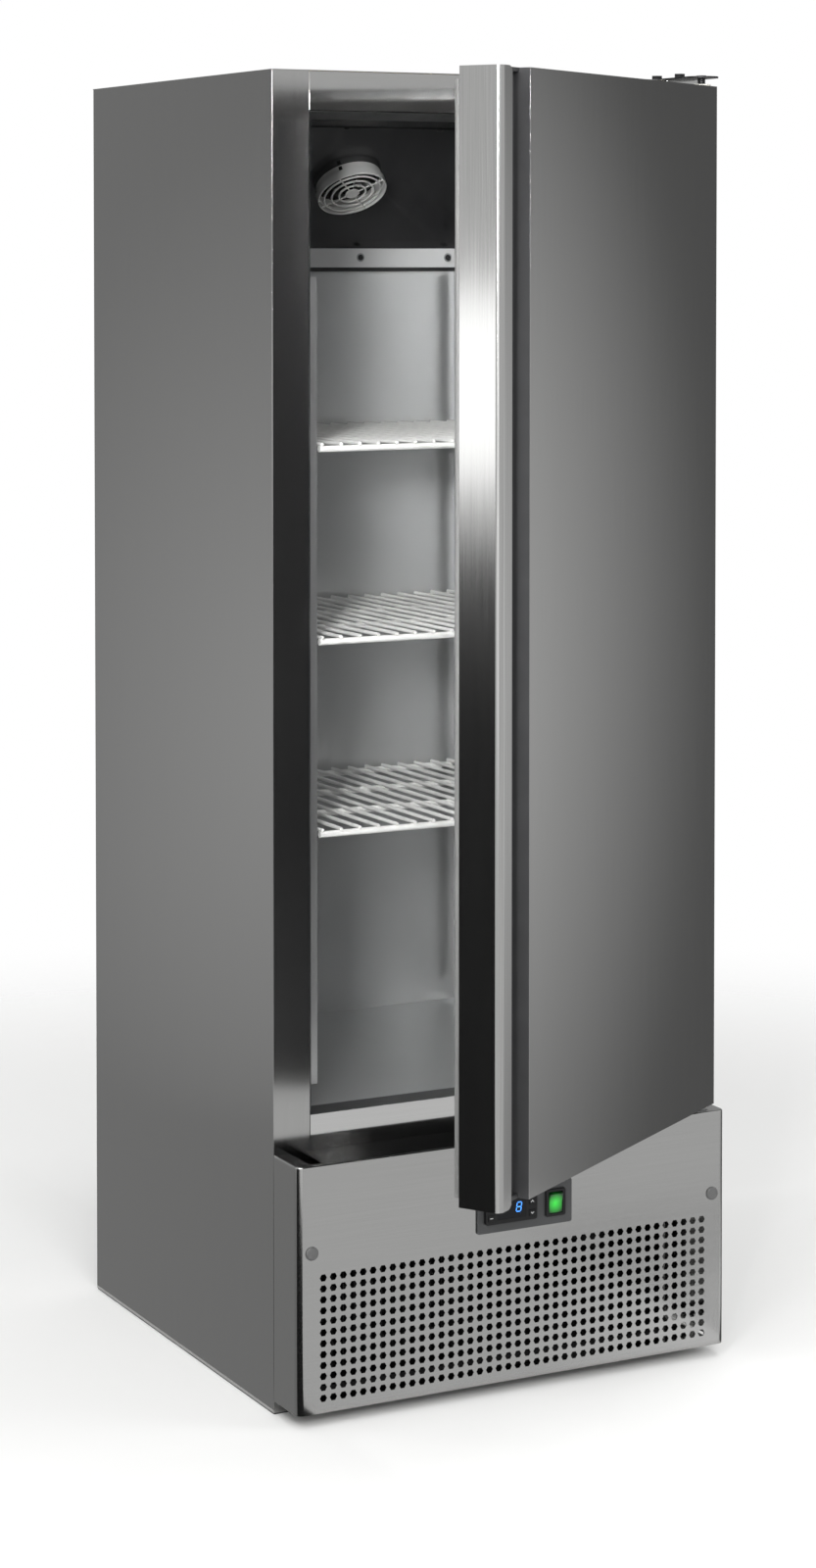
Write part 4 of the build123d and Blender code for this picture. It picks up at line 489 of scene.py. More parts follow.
kick = {"face": -358.0, "low": 17.5, "high": 325.5, "sheet": 1.2, "corner": 9.0, "brow": 2.0, "seam": 1.0,
        "notchX": 280.0, "notchHalf": 9.0, "notchFront": -350.0,
        "cutX": (-50.0, 70.0), "cutZ": (218.0, 258.0)}  # cut out behind the bezel
perforation = {"columns": 41, "rows": 12, "pitchX": 13.72, "pitchZ": 13.6, "centre": 110.5, "radius": 5.0,
               "weld": 0.02}


def hexTile():  # one cell of the sheet with a six-sided hole, face up
    p = perforation
    bm = bmesh.new()
    x, y = p["pitchX"] / 2, p["pitchZ"] / 2
    square = [(x, 0), (x, y), (0, y), (-x, y), (-x, 0), (-x, -y), (0, -y), (x, -y)]
    turns = [math.radians(60 * k) for k in range(6)]
    hole = [(p["radius"] * math.cos(a), p["radius"] * math.sin(a)) for a in turns]
    outer = [bm.verts.new(Vector((a, b, 0)) * mm) for a, b in square]
    inner = [bm.verts.new(Vector((a, b, 0)) * mm) for a, b in hole]
    # o for the square's points, i for the hole's
    for loop in (("o0", "o1", "i1", "i0"), ("o1", "o2", "i1"), ("o2", "i2", "i1"), ("o2", "o3", "i2"),
                 ("o3", "o4", "i3", "i2"), ("o4", "o5", "i4", "i3"), ("o5", "o6", "i4"), ("o6", "i5", "i4"),
                 ("o6", "o7", "i5"), ("o7", "o0", "i0", "i5")):
        bm.faces.new([(outer if mark[0] == "o" else inner)[int(mark[1])] for mark in loop])
    return addObject("hexTile", meshFrom("hexTile", bm))


def perforatedTree():
    sockets = [("Tile", "Object"), ("Columns", "Int"), ("Rows", "Int"), ("PitchX", "Float"),
               ("PitchZ", "Float"), ("Place", "Vector"), ("Weld", "Float"), ("Steel", "Material")]
    tree, given = newTree("perforatedField", sockets)
    gapsX = addNode(tree, "ShaderNodeMath", {0: given["Columns"], 1: 1.0}, operation="SUBTRACT")
    gapsZ = addNode(tree, "ShaderNodeMath", {0: given["Rows"], 1: 1.0}, operation="SUBTRACT")
    width = addNode(tree, "ShaderNodeMath", {0: gapsX.outputs[0], 1: given["PitchX"]}, operation="MULTIPLY")
    height = addNode(tree, "ShaderNodeMath", {0: gapsZ.outputs[0], 1: given["PitchZ"]}, operation="MULTIPLY")
    grid = addNode(tree, "GeometryNodeMeshGrid", {"Size X": width.outputs[0], "Size Y": height.outputs[0],
                                                 "Vertices X": given["Columns"], "Vertices Y": given["Rows"]})
    tile = addNode(tree, "GeometryNodeObjectInfo", {"Object": given["Tile"]})
    seats = {"Points": grid.outputs["Mesh"], "Instance": tile.outputs["Geometry"]}
    cells = addNode(tree, "GeometryNodeInstanceOnPoints", seats)
    solid = addNode(tree, "GeometryNodeRealizeInstances", {"Geometry": cells.outputs[0]})
    joined = {"Geometry": solid.outputs[0], "Distance": given["Weld"]}
    welded = addNode(tree, "GeometryNodeMergeByDistance", joined)
    upright = (math.radians(90), 0, 0)
    move = {"Geometry": welded.outputs[0], "Translation": given["Place"], "Rotation": upright}
    endTree(tree, addNode(tree, "GeometryNodeTransform", move).outputs[0], given["Steel"])
    return tree


def kickRing(inset, z, halfX):  # one level of the sheet, from the left end round the front to the right end
    k = kick
    side, face = casing["half"] - inset, k["face"] + inset
    flat = casing["half"] - k["corner"]
    corners = [(flat, face, 0), (side, face, k["corner"] - inset), (side, casing["front"] - k["seam"], 0)]
    right = [(v.x, v.y) for v in bendPath(corners, 8)[1:]]
    spots = [(-x, y) for x, y in right[::-1]] + [(x, face) for x in halfX] + right
    return [Vector((x, y, z)) * mm for x, y in spots], len(right)


def kickPanel():
    k, p = kick, perforation
    tile = hexTile()
    field = growMesh(perforatedTree(), bpy.data.meshes.new("seed"), {
        "Tile": tile, "Columns": p["columns"], "Rows": p["rows"], "PitchX": p["pitchX"] * mm,
        "PitchZ": p["pitchZ"] * mm, "Place": (0, k["face"] * mm, p["centre"] * mm), "Weld": p["weld"] * mm,
        "Steel": finishes["kick"]})
    bpy.data.objects.remove(tile)
    bm = bmesh.new()
    bm.from_mesh(field)
    # the plain sheet round the field is cut at the same lines, so that the two weld
    halfX = [(i - p["columns"]) * p["pitchX"] / 2 for i in range(2 * p["columns"] + 1)]
    halfZ = [p["centre"] + (i - p["rows"]) * p["pitchZ"] / 2 for i in range(2 * p["rows"] + 1)]
    turns = [math.radians(15 * s) for s in range(1, 7)]  # the brow is a quarter round
    brow = [(k["brow"] * (1 - math.cos(a)), k["high"] - k["brow"] * (1 - math.sin(a))) for a in turns]
    levels = [(0.0, z) for z in [k["low"], *halfZ, *k["cutZ"], k["high"] - k["brow"]]] + brow
    rows = []
    for inset, z in levels:
        spots, end = kickRing(inset, z, halfX)
        rows.append([bm.verts.new(spot) for spot in spots])
    for r, (low, high) in enumerate(zip(rows, rows[1:])):
        for c in range(len(low) - 1):
            inField = end <= c < end + len(halfX) - 1 and 1 <= r < len(halfZ)
            spanX = low[c].co.x * 1000, low[c + 1].co.x * 1000
            behindBezel = r == len(halfZ) + 1 and spanX[0] > k["cutX"][0] and spanX[1] < k["cutX"][1]
            if not inField and not behindBezel:
                bm.faces.new((low[c], low[c + 1], high[c + 1], high[c]))
    # the lower edge is folded in behind the face
    first = rows[0][end - 1:end + len(halfX) + 1]
    back = casing["front"] - k["seam"]
    fold = [bm.verts.new((v.co.x, back * mm, v.co.z)) for v in first]
    for c in range(len(first) - 1):
        bm.faces.new((fold[c], fold[c + 1], first[c + 1], first[c]))
    # the ledge has a hinge notch near each end
    corners = ((1, back), (1, k["notchFront"]), (-1, k["notchFront"]), (-1, back))
    notches = [(x + s * k["notchHalf"], y) for x in (k["notchX"], -k["notchX"]) for s, y in corners]
    bm.faces.new(rows[-1] + [bm.verts.new(Vector((x, y, k["high"])) * mm) for x, y in notches])
    bmesh.ops.remove_doubles(bm, verts=bm.verts, dist=p["weld"] * mm)
    sheet = thicken(bm, k["sheet"])
    return finishPiece("kick_panel_sheet", sheet, finishes["kick"], "cabinet", "kick_panel", sharp=50)


kickPanel()
print("kick panel perforated")


# door, in mm as it stands when shut

door = {"right": 296.5, "left": -296.5, "face": -356.5, "rear": -301.5, "low": 332.0, "high": 1659.5,
        "sheet": 1.0, "grooveEdge": -225.5, "grooveFloor": -330.5, "lipEdge": -268.5, "faceFold": 3.5,
        "grooveFold": 0.25, "floorFold": 5.0, "shadeInset": 1.5, "capFace": -342.0,
        "pivot": (280.0, -340.5), "open": 32.7}  # the turn in degrees, as in the photograph
handle = {"wall": 2.0, "corner": 8.5, "lipRound": 9.0, "lipFold": 1.0, "lipReturn": 10.0}
panel = {"thick": 2.0, "corner": 2.0,
         "rim": [(0.0, 0.0), (0.2, 3.0), (0.9, 4.0), (2.1, 4.0), (2.8, 3.0), (3.0, 0.0)]}
seal = {"free": 8.0, "hinge": 18.0, "under": 8.0, "over": 14.0,  # insets from the door's edges
        "width": 18.0, "corner": 2.0,
        "bellows": [(3.0, 0.0), (1.0, 1.2), (0.4, 3.2), (2.2, 4.6), (0.6, 6.0), (0.0, 8.8), (1.2, 10.8),
                    (3.4, 11.2)]}


def doorSwing():
    pivot = Vector((door["pivot"][0], door["pivot"][1], 0)) * mm
    turn = Matrix.Rotation(math.radians(door["open"]), 4, "Z")
    return Matrix.Translation(pivot) @ turn @ Matrix.Translation(-pivot)


def openDoor(bm):
    bmesh.ops.transform(bm, matrix=doorSwing(), verts=bm.verts)
    return bm


def doorSkin():
    d = door
    corners = [(d["right"], d["rear"], 0), (d["right"], d["face"], d["faceFold"]),
               (d["grooveEdge"], d["face"], d["grooveFold"]),
               (d["grooveEdge"], d["grooveFloor"], d["floorFold"]),
               (d["left"] + handle["wall"], d["grooveFloor"], 0)]
    return openDoor(foldedSheet(corners, -d["sheet"], (d["low"], d["high"]), steps=8))


def doorHandle():
    d, h = door, handle
    lip, end = d["lipEdge"], h["lipRound"]
    turns = [math.radians(15 * s) for s in range(5)]  # cut lines for the lip's round ends
    curve = [(lip - end * (1 - math.sin(a)), d["face"], 0) for a in turns]
    corners = [(d["left"], d["rear"], 0), (d["left"], d["face"], h["corner"])] + curve
    corners += [(lip, d["face"], h["lipFold"]), (lip, d["face"] + h["lipReturn"], 0)]

    def ends(point):
        reach = min(max(point.x - (lip - end), 0.0), end)
        drop = end - math.sqrt(max(end * end - reach * reach, 0.0))
        return d["low"] + drop, d["high"] - drop

    return openDoor(foldedSheet(corners, h["wall"], ends, steps=10))


def sealSpan():
    x = (door["left"] + seal["free"], door["right"] - seal["hinge"])
    return x, (door["low"] + seal["under"], door["high"] - seal["over"])


def doorPanel():  # pressed inner sheet with a raised rim that holds the seal
    d, rear, seat = door, door["rear"], seal["width"]
    bm = bmesh.new()
    across = (d["left"] + handle["wall"], d["right"] - d["sheet"])
    slab(bm, across, (rear - panel["thick"], rear), (d["low"], d["high"]))
    rim = [(inset, rear + height) for inset, height in panel["rim"]]
    x, z = sealSpan()
    frameRings(bm, (x[0] + seat, x[1] - seat), (z[0] + seat, z[1] - seat), rim, panel["corner"])
    return openDoor(bm)


def doorSeal():  # bellows section of the magnetic seal
    half = seal["bellows"]
    section = half + [(seal["width"] - inset, depth) for inset, depth in half[::-1]]
    bm = bmesh.new()
    x, z = sealSpan()
    frameRings(bm, x, z, [(inset, door["rear"] + depth) for inset, depth in section], seal["corner"])
    return openDoor(bm)


def endCaps():  # set back where they close the groove, clear of the display
    bm = cleanCopy("door_end_caps")
    swing = doorSwing()
    mouth = door["grooveEdge"] + door["sheet"] + 0.02  # a hair past the skin's inner face
    for vert in bm.verts:
        spot = swing.inverted() @ vert.co
        if spot.x < mouth * mm:
            spot.y = max(spot.y, door["capFace"] * mm)
        vert.co = swing @ spot
    bmesh.ops.dissolve_degenerate(bm, dist=1e-6, edges=bm.edges)
    return bm


skin = finishPiece("door_skin_sheet", doorSkin(), finishes["upright"], "door", "door_skin")
skin.data.materials.append(finishes["groove"])
for face in skin.data.polygons:  # the finger groove's faces get a dark grey finish: painted shade in the recess
    spot = doorSwing().inverted() @ face.center * 1000
    inGroove = spot.x < door["grooveEdge"] + door["shadeInset"] and spot.y > door["face"] + door["shadeInset"]
    face.material_index = 1 if inGroove else 0
finishPiece("door_handle_sheet", doorHandle(), finishes["handle"], "door", "door_handle_profile", sharp=40)
finishPiece("door_panel_pressing", doorPanel(), finishes["doorLiner"], "door", "door_inner_panel")
finishPiece("door_seal_bellows", doorSeal(), finishes["gasket"], "door", "door_gasket", sharp=60)
finishPiece("door_end_caps_finished", endCaps(), finishes["strip"], "door", "door_end_caps", bevel=0.4)
print("door hung")


# storage space

shelfSizes = {"HalfWidth": 0.215, "WireReach": 0.2125, "Front": -0.230, "Back": 0.228, "WireRadius": 0.0025,
              "WireCount": 17, "BarRadius": 0.0042, "BarCount": 4, "Rise": 0.0057}  # in metres
shelfHeights = {"shelf_lower": 0.708, "shelf_middle": 0.9525, "shelf_upper": 1.197}
ceilingFaces = {"above": 1.55, "facing": -0.9}  # height in metres, and how far the normal points down
# the black strip under the channel is painted shade, a dark band where the channel would cast its shadow
channelShadeStrip = {"front": 1.5, "rear": 12.0, "drop": 5.5}  # in mm from the channel's lower front edge


def shelfTree():
    sockets = [(label, "Int" if label.endswith("Count") else "Float") for label in shelfSizes]
    tree, given = newTree("coatedShelf", sockets + [("Height", "Float"), ("Coat", "Material")])

    def tube(start, end, radius):
        line = addNode(tree, "GeometryNodeCurvePrimitiveLine", {"Start": start, "End": end})
        ring = addNode(tree, "GeometryNodeCurvePrimitiveCircle", {"Resolution": 14, "Radius": radius})
        drawn = {"Curve": line.outputs[0], "Profile Curve": ring.outputs[0], "Fill Caps": True}
        return addNode(tree, "GeometryNodeCurveToMesh", drawn).outputs[0]

    def row(count, first, last, what):
        spots = {"Count": count, "Start Location": first, "Offset": last}
        line = addNode(tree, "GeometryNodeMeshLine", spots, mode="END_POINTS", count_mode="TOTAL")
        seats = {"Points": line.outputs[0], "Instance": what}
        return addNode(tree, "GeometryNodeInstanceOnPoints", seats).outputs[0]

    toLeft = (-1.0, 1.0, 1.0)
    wireFront = addNode(tree, "ShaderNodeCombineXYZ", {1: given["Front"]}).outputs[0]
    wireBack = addNode(tree, "ShaderNodeCombineXYZ", {1: given["Back"]}).outputs[0]
    wireLast = addNode(tree, "ShaderNodeCombineXYZ", {0: given["WireReach"], 2: given["Rise"]}).outputs[0]
    wireFirst = addNode(tree, "ShaderNodeVectorMath", {0: wireLast, 1: toLeft}, operation="MULTIPLY")
    wire = tube(wireFront, wireBack, given["WireRadius"])
    wires = row(given["WireCount"], wireFirst.outputs[0], wireLast, wire)
    barRight = addNode(tree, "ShaderNodeCombineXYZ", {0: given["HalfWidth"]}).outputs[0]
    barLeft = addNode(tree, "ShaderNodeVectorMath", {0: barRight, 1: toLeft}, operation="MULTIPLY")
    frontBar = addNode(tree, "ShaderNodeMath", {0: given["Front"], 1: given["BarRadius"]}, operation="ADD")
    backBar = addNode(tree, "ShaderNodeMath", {0: given["Back"], 1: given["BarRadius"]}, operation="SUBTRACT")
    barFirst = addNode(tree, "ShaderNodeCombineXYZ", {1: frontBar.outputs[0]}).outputs[0]
    barLast = addNode(tree, "ShaderNodeCombineXYZ", {1: backBar.outputs[0]}).outputs[0]
    bar = tube(barLeft.outputs[0], barRight, given["BarRadius"])
    bars = row(given["BarCount"], barFirst, barLast, bar)
    both = addNode(tree, "GeometryNodeJoinGeometry")
    tree.links.new(wires, both.inputs[0])
    tree.links.new(bars, both.inputs[0])
    lift = addNode(tree, "ShaderNodeCombineXYZ", {2: given["Height"]}).outputs[0]
    lifted = addNode(tree, "GeometryNodeTransform", {"Geometry": both.outputs[0], "Translation": lift})
    endTree(tree, lifted.outputs[0], given["Coat"])
    return tree


coatedShelf = shelfTree()
for name, height in shelfHeights.items():
    values = {**shelfSizes, "Height": height, "Coat": finishes["wireCoat"]}
    wires = growMesh(coatedShelf, bpy.data.meshes.new("seed"), values)
    settle(name + "_wires", smoothMesh(wires, 40), finishes["wireCoat"], "cabinet", [name])
liner = refine("inner_liner", finishes["liner"])
liner.data.materials.append(finishes["ceiling"])
for face in liner.data.polygons:  # the ceiling is polished and mirrors the dark cover; its darker tone is painted shade
    overhead = face.normal.z < ceilingFaces["facing"] and face.center.z > ceilingFaces["above"]
    face.material_index = 1 if overhead else 0
refine("shelf_uprights", finishes["liner"], sharp=20)
refine("shelf_clips", finishes["zincBolt"], bevel=0.5)
refine("evaporator_cover", finishes["cover"])
refine("drip_channel", finishes["channel"])
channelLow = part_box("drip_channel")[0] * 1000
strip = bmesh.new()  # black strip under the channel: painted shade standing in for the shadow gap beneath it
shadeStripDepth = (channelLow.y + channelShadeStrip["front"], channelLow.y + channelShadeStrip["rear"])
slab(strip, (channelLow.x, -channelLow.x), shadeStripDepth, (channelLow.z - channelShadeStrip["drop"], channelLow.z))
finishPiece("drip_channel_strip", strip, finishes["rubber"], "cabinet", bevel=0.8)
print("shelves set")


# fan guard

coolerFan = {"seat": (-14.0, 93.573, 1542.369), "slope": 34.775, "rim": 48.5, "collar": 46.0,
             "collarHeight": 10.0, "height": 22.0, "wall": 1.9, "rings": (18.8, 29.2, 39.6),
             "ringWidth": 2.3, "ringDepth": 2.2, "edge": 0.7, "hub": 10.0, "hubEdge": 0.8, "dimple": 6.0,
             "dimpleDepth": 0.3, "axle": 0.01, "spoke": 1.6, "spokeStart": 4.0, "spokeDrop": 0.5}
guardLatch = {"turn": 38.0, "x": (-2.4, 2.4), "fromCollar": (-1.0, 0.9), "z": (2.0, 7.5)}


def fanGuard():
    f = coolerFan
    tilt = Matrix.Rotation(math.radians(180 - f["slope"]), 4, "X")
    place = Matrix.Translation(Vector(f["seat"]) * mm) @ tilt
    bm = bmesh.new()
    rim, collar, wall, step, top = f["rim"], f["collar"], f["wall"], f["collarHeight"], f["height"]
    inner, bore = collar - wall, rim - wall
    # collar and rim with their edges eased
    section = [(inner, 0), (collar, 0), (collar, step - 0.6), (collar + 0.6, step), (rim - 0.7, step),
               (rim, step + 0.7), (rim, top - 1.2), (rim - 0.4, top - 0.3), (rim - 1.2, top),
               (bore + 0.3, top), (bore, top - 0.5), (bore, step + wall), (inner, step + wall)]
    revolve(bm, section, place, 72)
    low, edge = top - f["ringDepth"], f["edge"]
    for radius in f["rings"]:
        a, b = radius - f["ringWidth"] / 2, radius + f["ringWidth"] / 2
        bar = [(a, low), (b, low), (b, top - edge), (b - edge, top), (a + edge, top), (a, top - edge)]
        revolve(bm, bar, place, 60)
    hub, corner, floor = f["hub"], f["hubEdge"], top - f["dimpleDepth"]
    button = [(f["axle"], low), (hub, low), (hub, top - corner), (hub - corner, top), (f["dimple"], floor),
              (f["axle"], floor)]
    revolve(bm, button, place, 40, closed=False)
    for turn in range(4):
        spoke = bmesh.new()
        half = f["spoke"] / 2
        slab(spoke, (f["spokeStart"], rim - wall / 2), (-half, half), (low, top - f["spokeDrop"]))
        aim = place @ Matrix.Rotation(math.radians(45 + 90 * turn), 4, "Z")
        bmesh.ops.transform(spoke, matrix=aim, verts=spoke.verts)
        bm.from_mesh(meshFrom("spoke", spoke))
    finishPiece("evaporator_fan_guard_moulding", bm, finishes["guard"], "cabinet", "evaporator_fan_guard",
                sharp=50)
    latch = bmesh.new()  # spring catch in the collar
    slab(latch, guardLatch["x"], [collar + gap for gap in guardLatch["fromCollar"]], guardLatch["z"])
    aim = place @ Matrix.Rotation(math.radians(guardLatch["turn"]), 4, "Z")
    bmesh.ops.transform(latch, matrix=aim, verts=latch.verts)
    finishPiece("evaporator_fan_guard_latch", latch, finishes["black"], "cabinet", bevel=0.4)


fanGuard()
print("fan guard turned")


# fasteners, each profile as (radius, height) over its seat

panHead = [(1.8, -2.0), (1.8, 0.0), (4.2, 0.0), (4.2, 0.9), (3.9, 1.7), (3.2, 2.2), (2.3, 2.4), (2.1, 2.4),
           (1.9, 1.0), (0.0, 0.8)]
flatWasher = [(4.3, -0.05), (6.2, -0.05), (6.2, 0.35), (5.8, 0.6), (4.3, 0.6)]
capHead = [(2.5, -9.8), (2.5, 0.0), (8.5, 0.0), (8.5, 1.0), (8.1, 1.9), (7.2, 2.6), (6.0, 2.9), (4.0, 3.0),
           (0.0, 3.0)]
channelScrews = {"x": (-210, -70, 70, 210), "y": 224.0, "z": 1438.2, "facing": (0, -1, 0)}
ceilingScrews = {"x": (-70, 70), "y": -15.0, "z": 1610.8, "facing": (0, 0, -1)}
kickScrews = {"x": (-290, 290), "y": kick["face"], "z": 217.5, "facing": (0, -1, 0)}


def fastenerMesh(name, profile, steps, ring=False):
    bm = bmesh.new()
    revolve(bm, profile, Matrix.Identity(4), steps, closed=ring)
    bmesh.ops.recalc_face_normals(bm, faces=bm.faces)
    return addObject(name, smoothMesh(meshFrom(name, bm), 35))


def fastenerTree():
    tree, given = newTree("seatedFasteners", [("Fastener", "Object"), ("Finish", "Material")])
    facing = addNode(tree, "GeometryNodeInputNamedAttribute", {"Name": "facing"}, data_type="FLOAT_VECTOR")
    turned = addNode(tree, "FunctionNodeAlignRotationToVector", {"Vector": facing.outputs[0]}, axis="Z")
    source = addNode(tree, "GeometryNodeObjectInfo", {"Object": given["Fastener"]})
    seats = {"Points": given["Geometry"], "Instance": source.outputs["Geometry"],
             "Rotation": turned.outputs[0]}
    seated = addNode(tree, "GeometryNodeInstanceOnPoints", seats)
    endTree(tree, seated.outputs[0], given["Finish"])
    return tree


def screwRow(seats):  # spots as (place, facing) in mm
    return [((x, seats["y"], seats["z"]), seats["facing"]) for x in seats["x"]]


def seatFasteners(name, source, spots, finish, stands):
    base = bpy.data.meshes.new("seats")
    base.from_pydata([Vector(spot) * mm for spot, facing in spots], [], [])
    field = base.attributes.new("facing", "FLOAT_VECTOR", "POINT")
    for i, (spot, facing) in enumerate(spots):
        field.data[i].vector = facing
    mesh = growMesh(seatedFasteners, base, {"Fastener": source, "Finish": finish})
    bpy.data.objects.remove(source)
    return settle(name, smoothMesh(mesh, 35), finish, "cabinet", stands)


seatedFasteners = fastenerTree()
coverSpots = screwRow(channelScrews) + screwRow(ceilingScrews)
washer = fastenerMesh("flatWasher", flatWasher, 24, ring=True)
seatFasteners("cover_washers_seated", washer, screwRow(channelScrews), finishes["zincBolt"], [])
screw = fastenerMesh("panHeadScrew", panHead, 20)
seatFasteners("cover_screws_seated", screw, coverSpots, finishes["darkBolt"], ["cover_screws"])
screw = fastenerMesh("kickScrew", capHead, 40)
seatFasteners("kick_screws_seated", screw, screwRow(kickScrews), finishes["cap"], ["kick_screws"])
refine("hinge_bolts", finishes["darkBolt"], bevel=0.4)
refine("hinge_pins", finishes["darkBolt"], bevel=0.5, sharp=40)
refine("top_hinge_bracket", finishes["darkBolt"], bevel=0.4)
refine("bottom_hinge_bracket", finishes["zincBolt"], bevel=0.5)
print("fasteners seated")


# controls

digit = {"centre": (-3.7, 240.6), "wide": 6.6, "tall": 11.6, "barHalf": 0.6, "gap": 0.35, "lean": 8,
         "depth": (-367.05, -366.6)}
chevron = [(-2.4, 1.0), (-1.5, 1.3), (0.0, -0.3), (1.5, 1.3), (2.4, 1.0), (0.0, -1.5)]
hexagon = [math.radians(60 * k) for k in range(6)]
keySigns = {
    "key_down": chevron,
    "key_up": [(a, -b) for a, b in chevron[::-1]],
    "key_set": [(-2.2, -0.4), (2.2, -0.4), (2.2, 0.4), (-2.2, 0.4)],
    "key_defrost": [(1.6 * math.cos(a), 1.6 * math.sin(a)) for a in hexagon],
}
printDepth = (-0.06, 0.2)  # from a key's face


def digitEight():  # seven short bars with pointed ends, leaning a little
    bm = bmesh.new()
    x0, z0 = digit["centre"]
    half, gap = digit["barHalf"], digit["gap"]
    lean = math.tan(math.radians(digit["lean"]))
    w, h = digit["wide"] / 2, digit["tall"] / 2
    bars = ((-w, h, w, h), (-w, 0, w, 0), (-w, -h, w, -h), (-w, 0, -w, h), (w, 0, w, h), (-w, -h, -w, 0),
            (w, -h, w, 0))
    for ax, az, bx, bz in bars:
        start, end = Vector((ax, az)), Vector((bx, bz))
        along = (end - start).normalized()
        side = Vector((-along.y, along.x)) * half
        start, end = start + along * gap, end - along * gap
        tip = along * half
        outline = [start, start + tip + side, end - tip + side, end, end - tip - side, start + tip - side]
        plate(bm, [(x0 + p.x + p.y * lean, z0 + p.y) for p in outline], digit["depth"])
    return finishPiece("display_digit", bm, finishes["blue"], "cabinet")


def keyMark(name, key, outline):  # a printed sign on a key's face
    bm = bmesh.new()
    low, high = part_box(key)
    x, z, face = (low.x + high.x) * 500, (low.z + high.z) * 500, low.y * 1000
    plate(bm, [(x + a, z + b) for a, b in outline], [face + depth for depth in printDepth])
    return finishPiece(name, bm, finishes["mark"], key)


refine("control_bezel", finishes["bezel"], bevel=0.6)
refine("controller_case", finishes["black"], bevel=0.5)
refine("controller_window", finishes["lens"], bevel=0.2)
refine("switch_housing", finishes["black"], bevel=0.7)
refine("switch_rocker", finishes["green"], "power_switch", bevel=0.6)
for key in ("key_defrost", "key_set", "key_up", "key_down"):
    refine(key, finishes["black"], key, bevel=0.5)
digitEight()
for key, outline in keySigns.items():
    keyMark(key + "_sign", key, outline)
print("controls fitted")


# pieces whose CAD shape is right

carried = {
    "zincSheet": ["back_panel", "rear_guard"],
    # the machine-space parts are black, partly a real coat and partly painted shade behind the grille
    "blackCoatAndShade": ["base_pan", "kick_brackets", "condenser_fan_shroud", "condenser_tubes", "condenser_fins",
                 "refrigerant_pipes"],
    "foam": ["insulation", "door_foam"],
    "nylon": ["door_bushes", "drain_tube"],
    "fin": ["evaporator_fins", "evaporator_tubes"],
    "copper": ["filter_drier"],
    "enamel": ["compressor"],
    "rubber": ["compressor_grommets"],
    "fanSteel": ["condenser_fan_motor", "condenser_fan_blade"],
    # the evaporator fan's blade and motor are black as painted shade inside the guard
    "black": ["evaporator_fan_blade", "evaporator_fan_motor", "condensate_pan", "junction_box",
              "cable_gland"],
}
for finish, members in carried.items():
    for member in members:
        nodes[member].data.materials.clear()
        nodes[member].data.materials.append(finishes[finish])
print("carried nodes painted")


# studio, in metres

studio = {"floor": "#F2F2F1", "floorSize": 6.0, "floorRough": 0.8, "fadeRadius": 2.6, "fadeEnd": 0.55,
          "roomLight": 0.55}
lamps = [
    {"name": "leftSoftbox", "place": (-2.6, -2.2, 3.2), "aim": (0.0, -0.2, 1.0),
     "size": (1.4, 1.4), "power": 55},
    {"name": "frontSoftbox", "place": (-1.2, -4.6, 2.9), "aim": (-0.1, 0.1, 1.0),
     "size": (2.0, 1.4), "power": 95},
    {"name": "rightSoftbox", "place": (2.6, -2.4, 1.9), "aim": (0.0, -0.4, 0.9),
     "size": (1.2, 2.0), "power": 35, "mirrored": False},
    {"name": "topSoftbox", "place": (0.0, -0.6, 3.8), "aim": (0.0, 0.0, 0.8),
     "size": (2.6, 2.6), "power": 45, "mirrored": False},
    {"name": "stripSoftbox", "place": (-2.0, -0.75, 1.22), "aim": (0.0, -0.75, 1.22),
     "size": (0.9, 0.33), "power": 2.2},
    {"name": "insideFill", "place": (-2.45, -3.6, 1.9), "aim": (0.0, 0.0, 1.05),
     "size": (0.4, 0.4), "power": 4.5, "spread": 30},
]
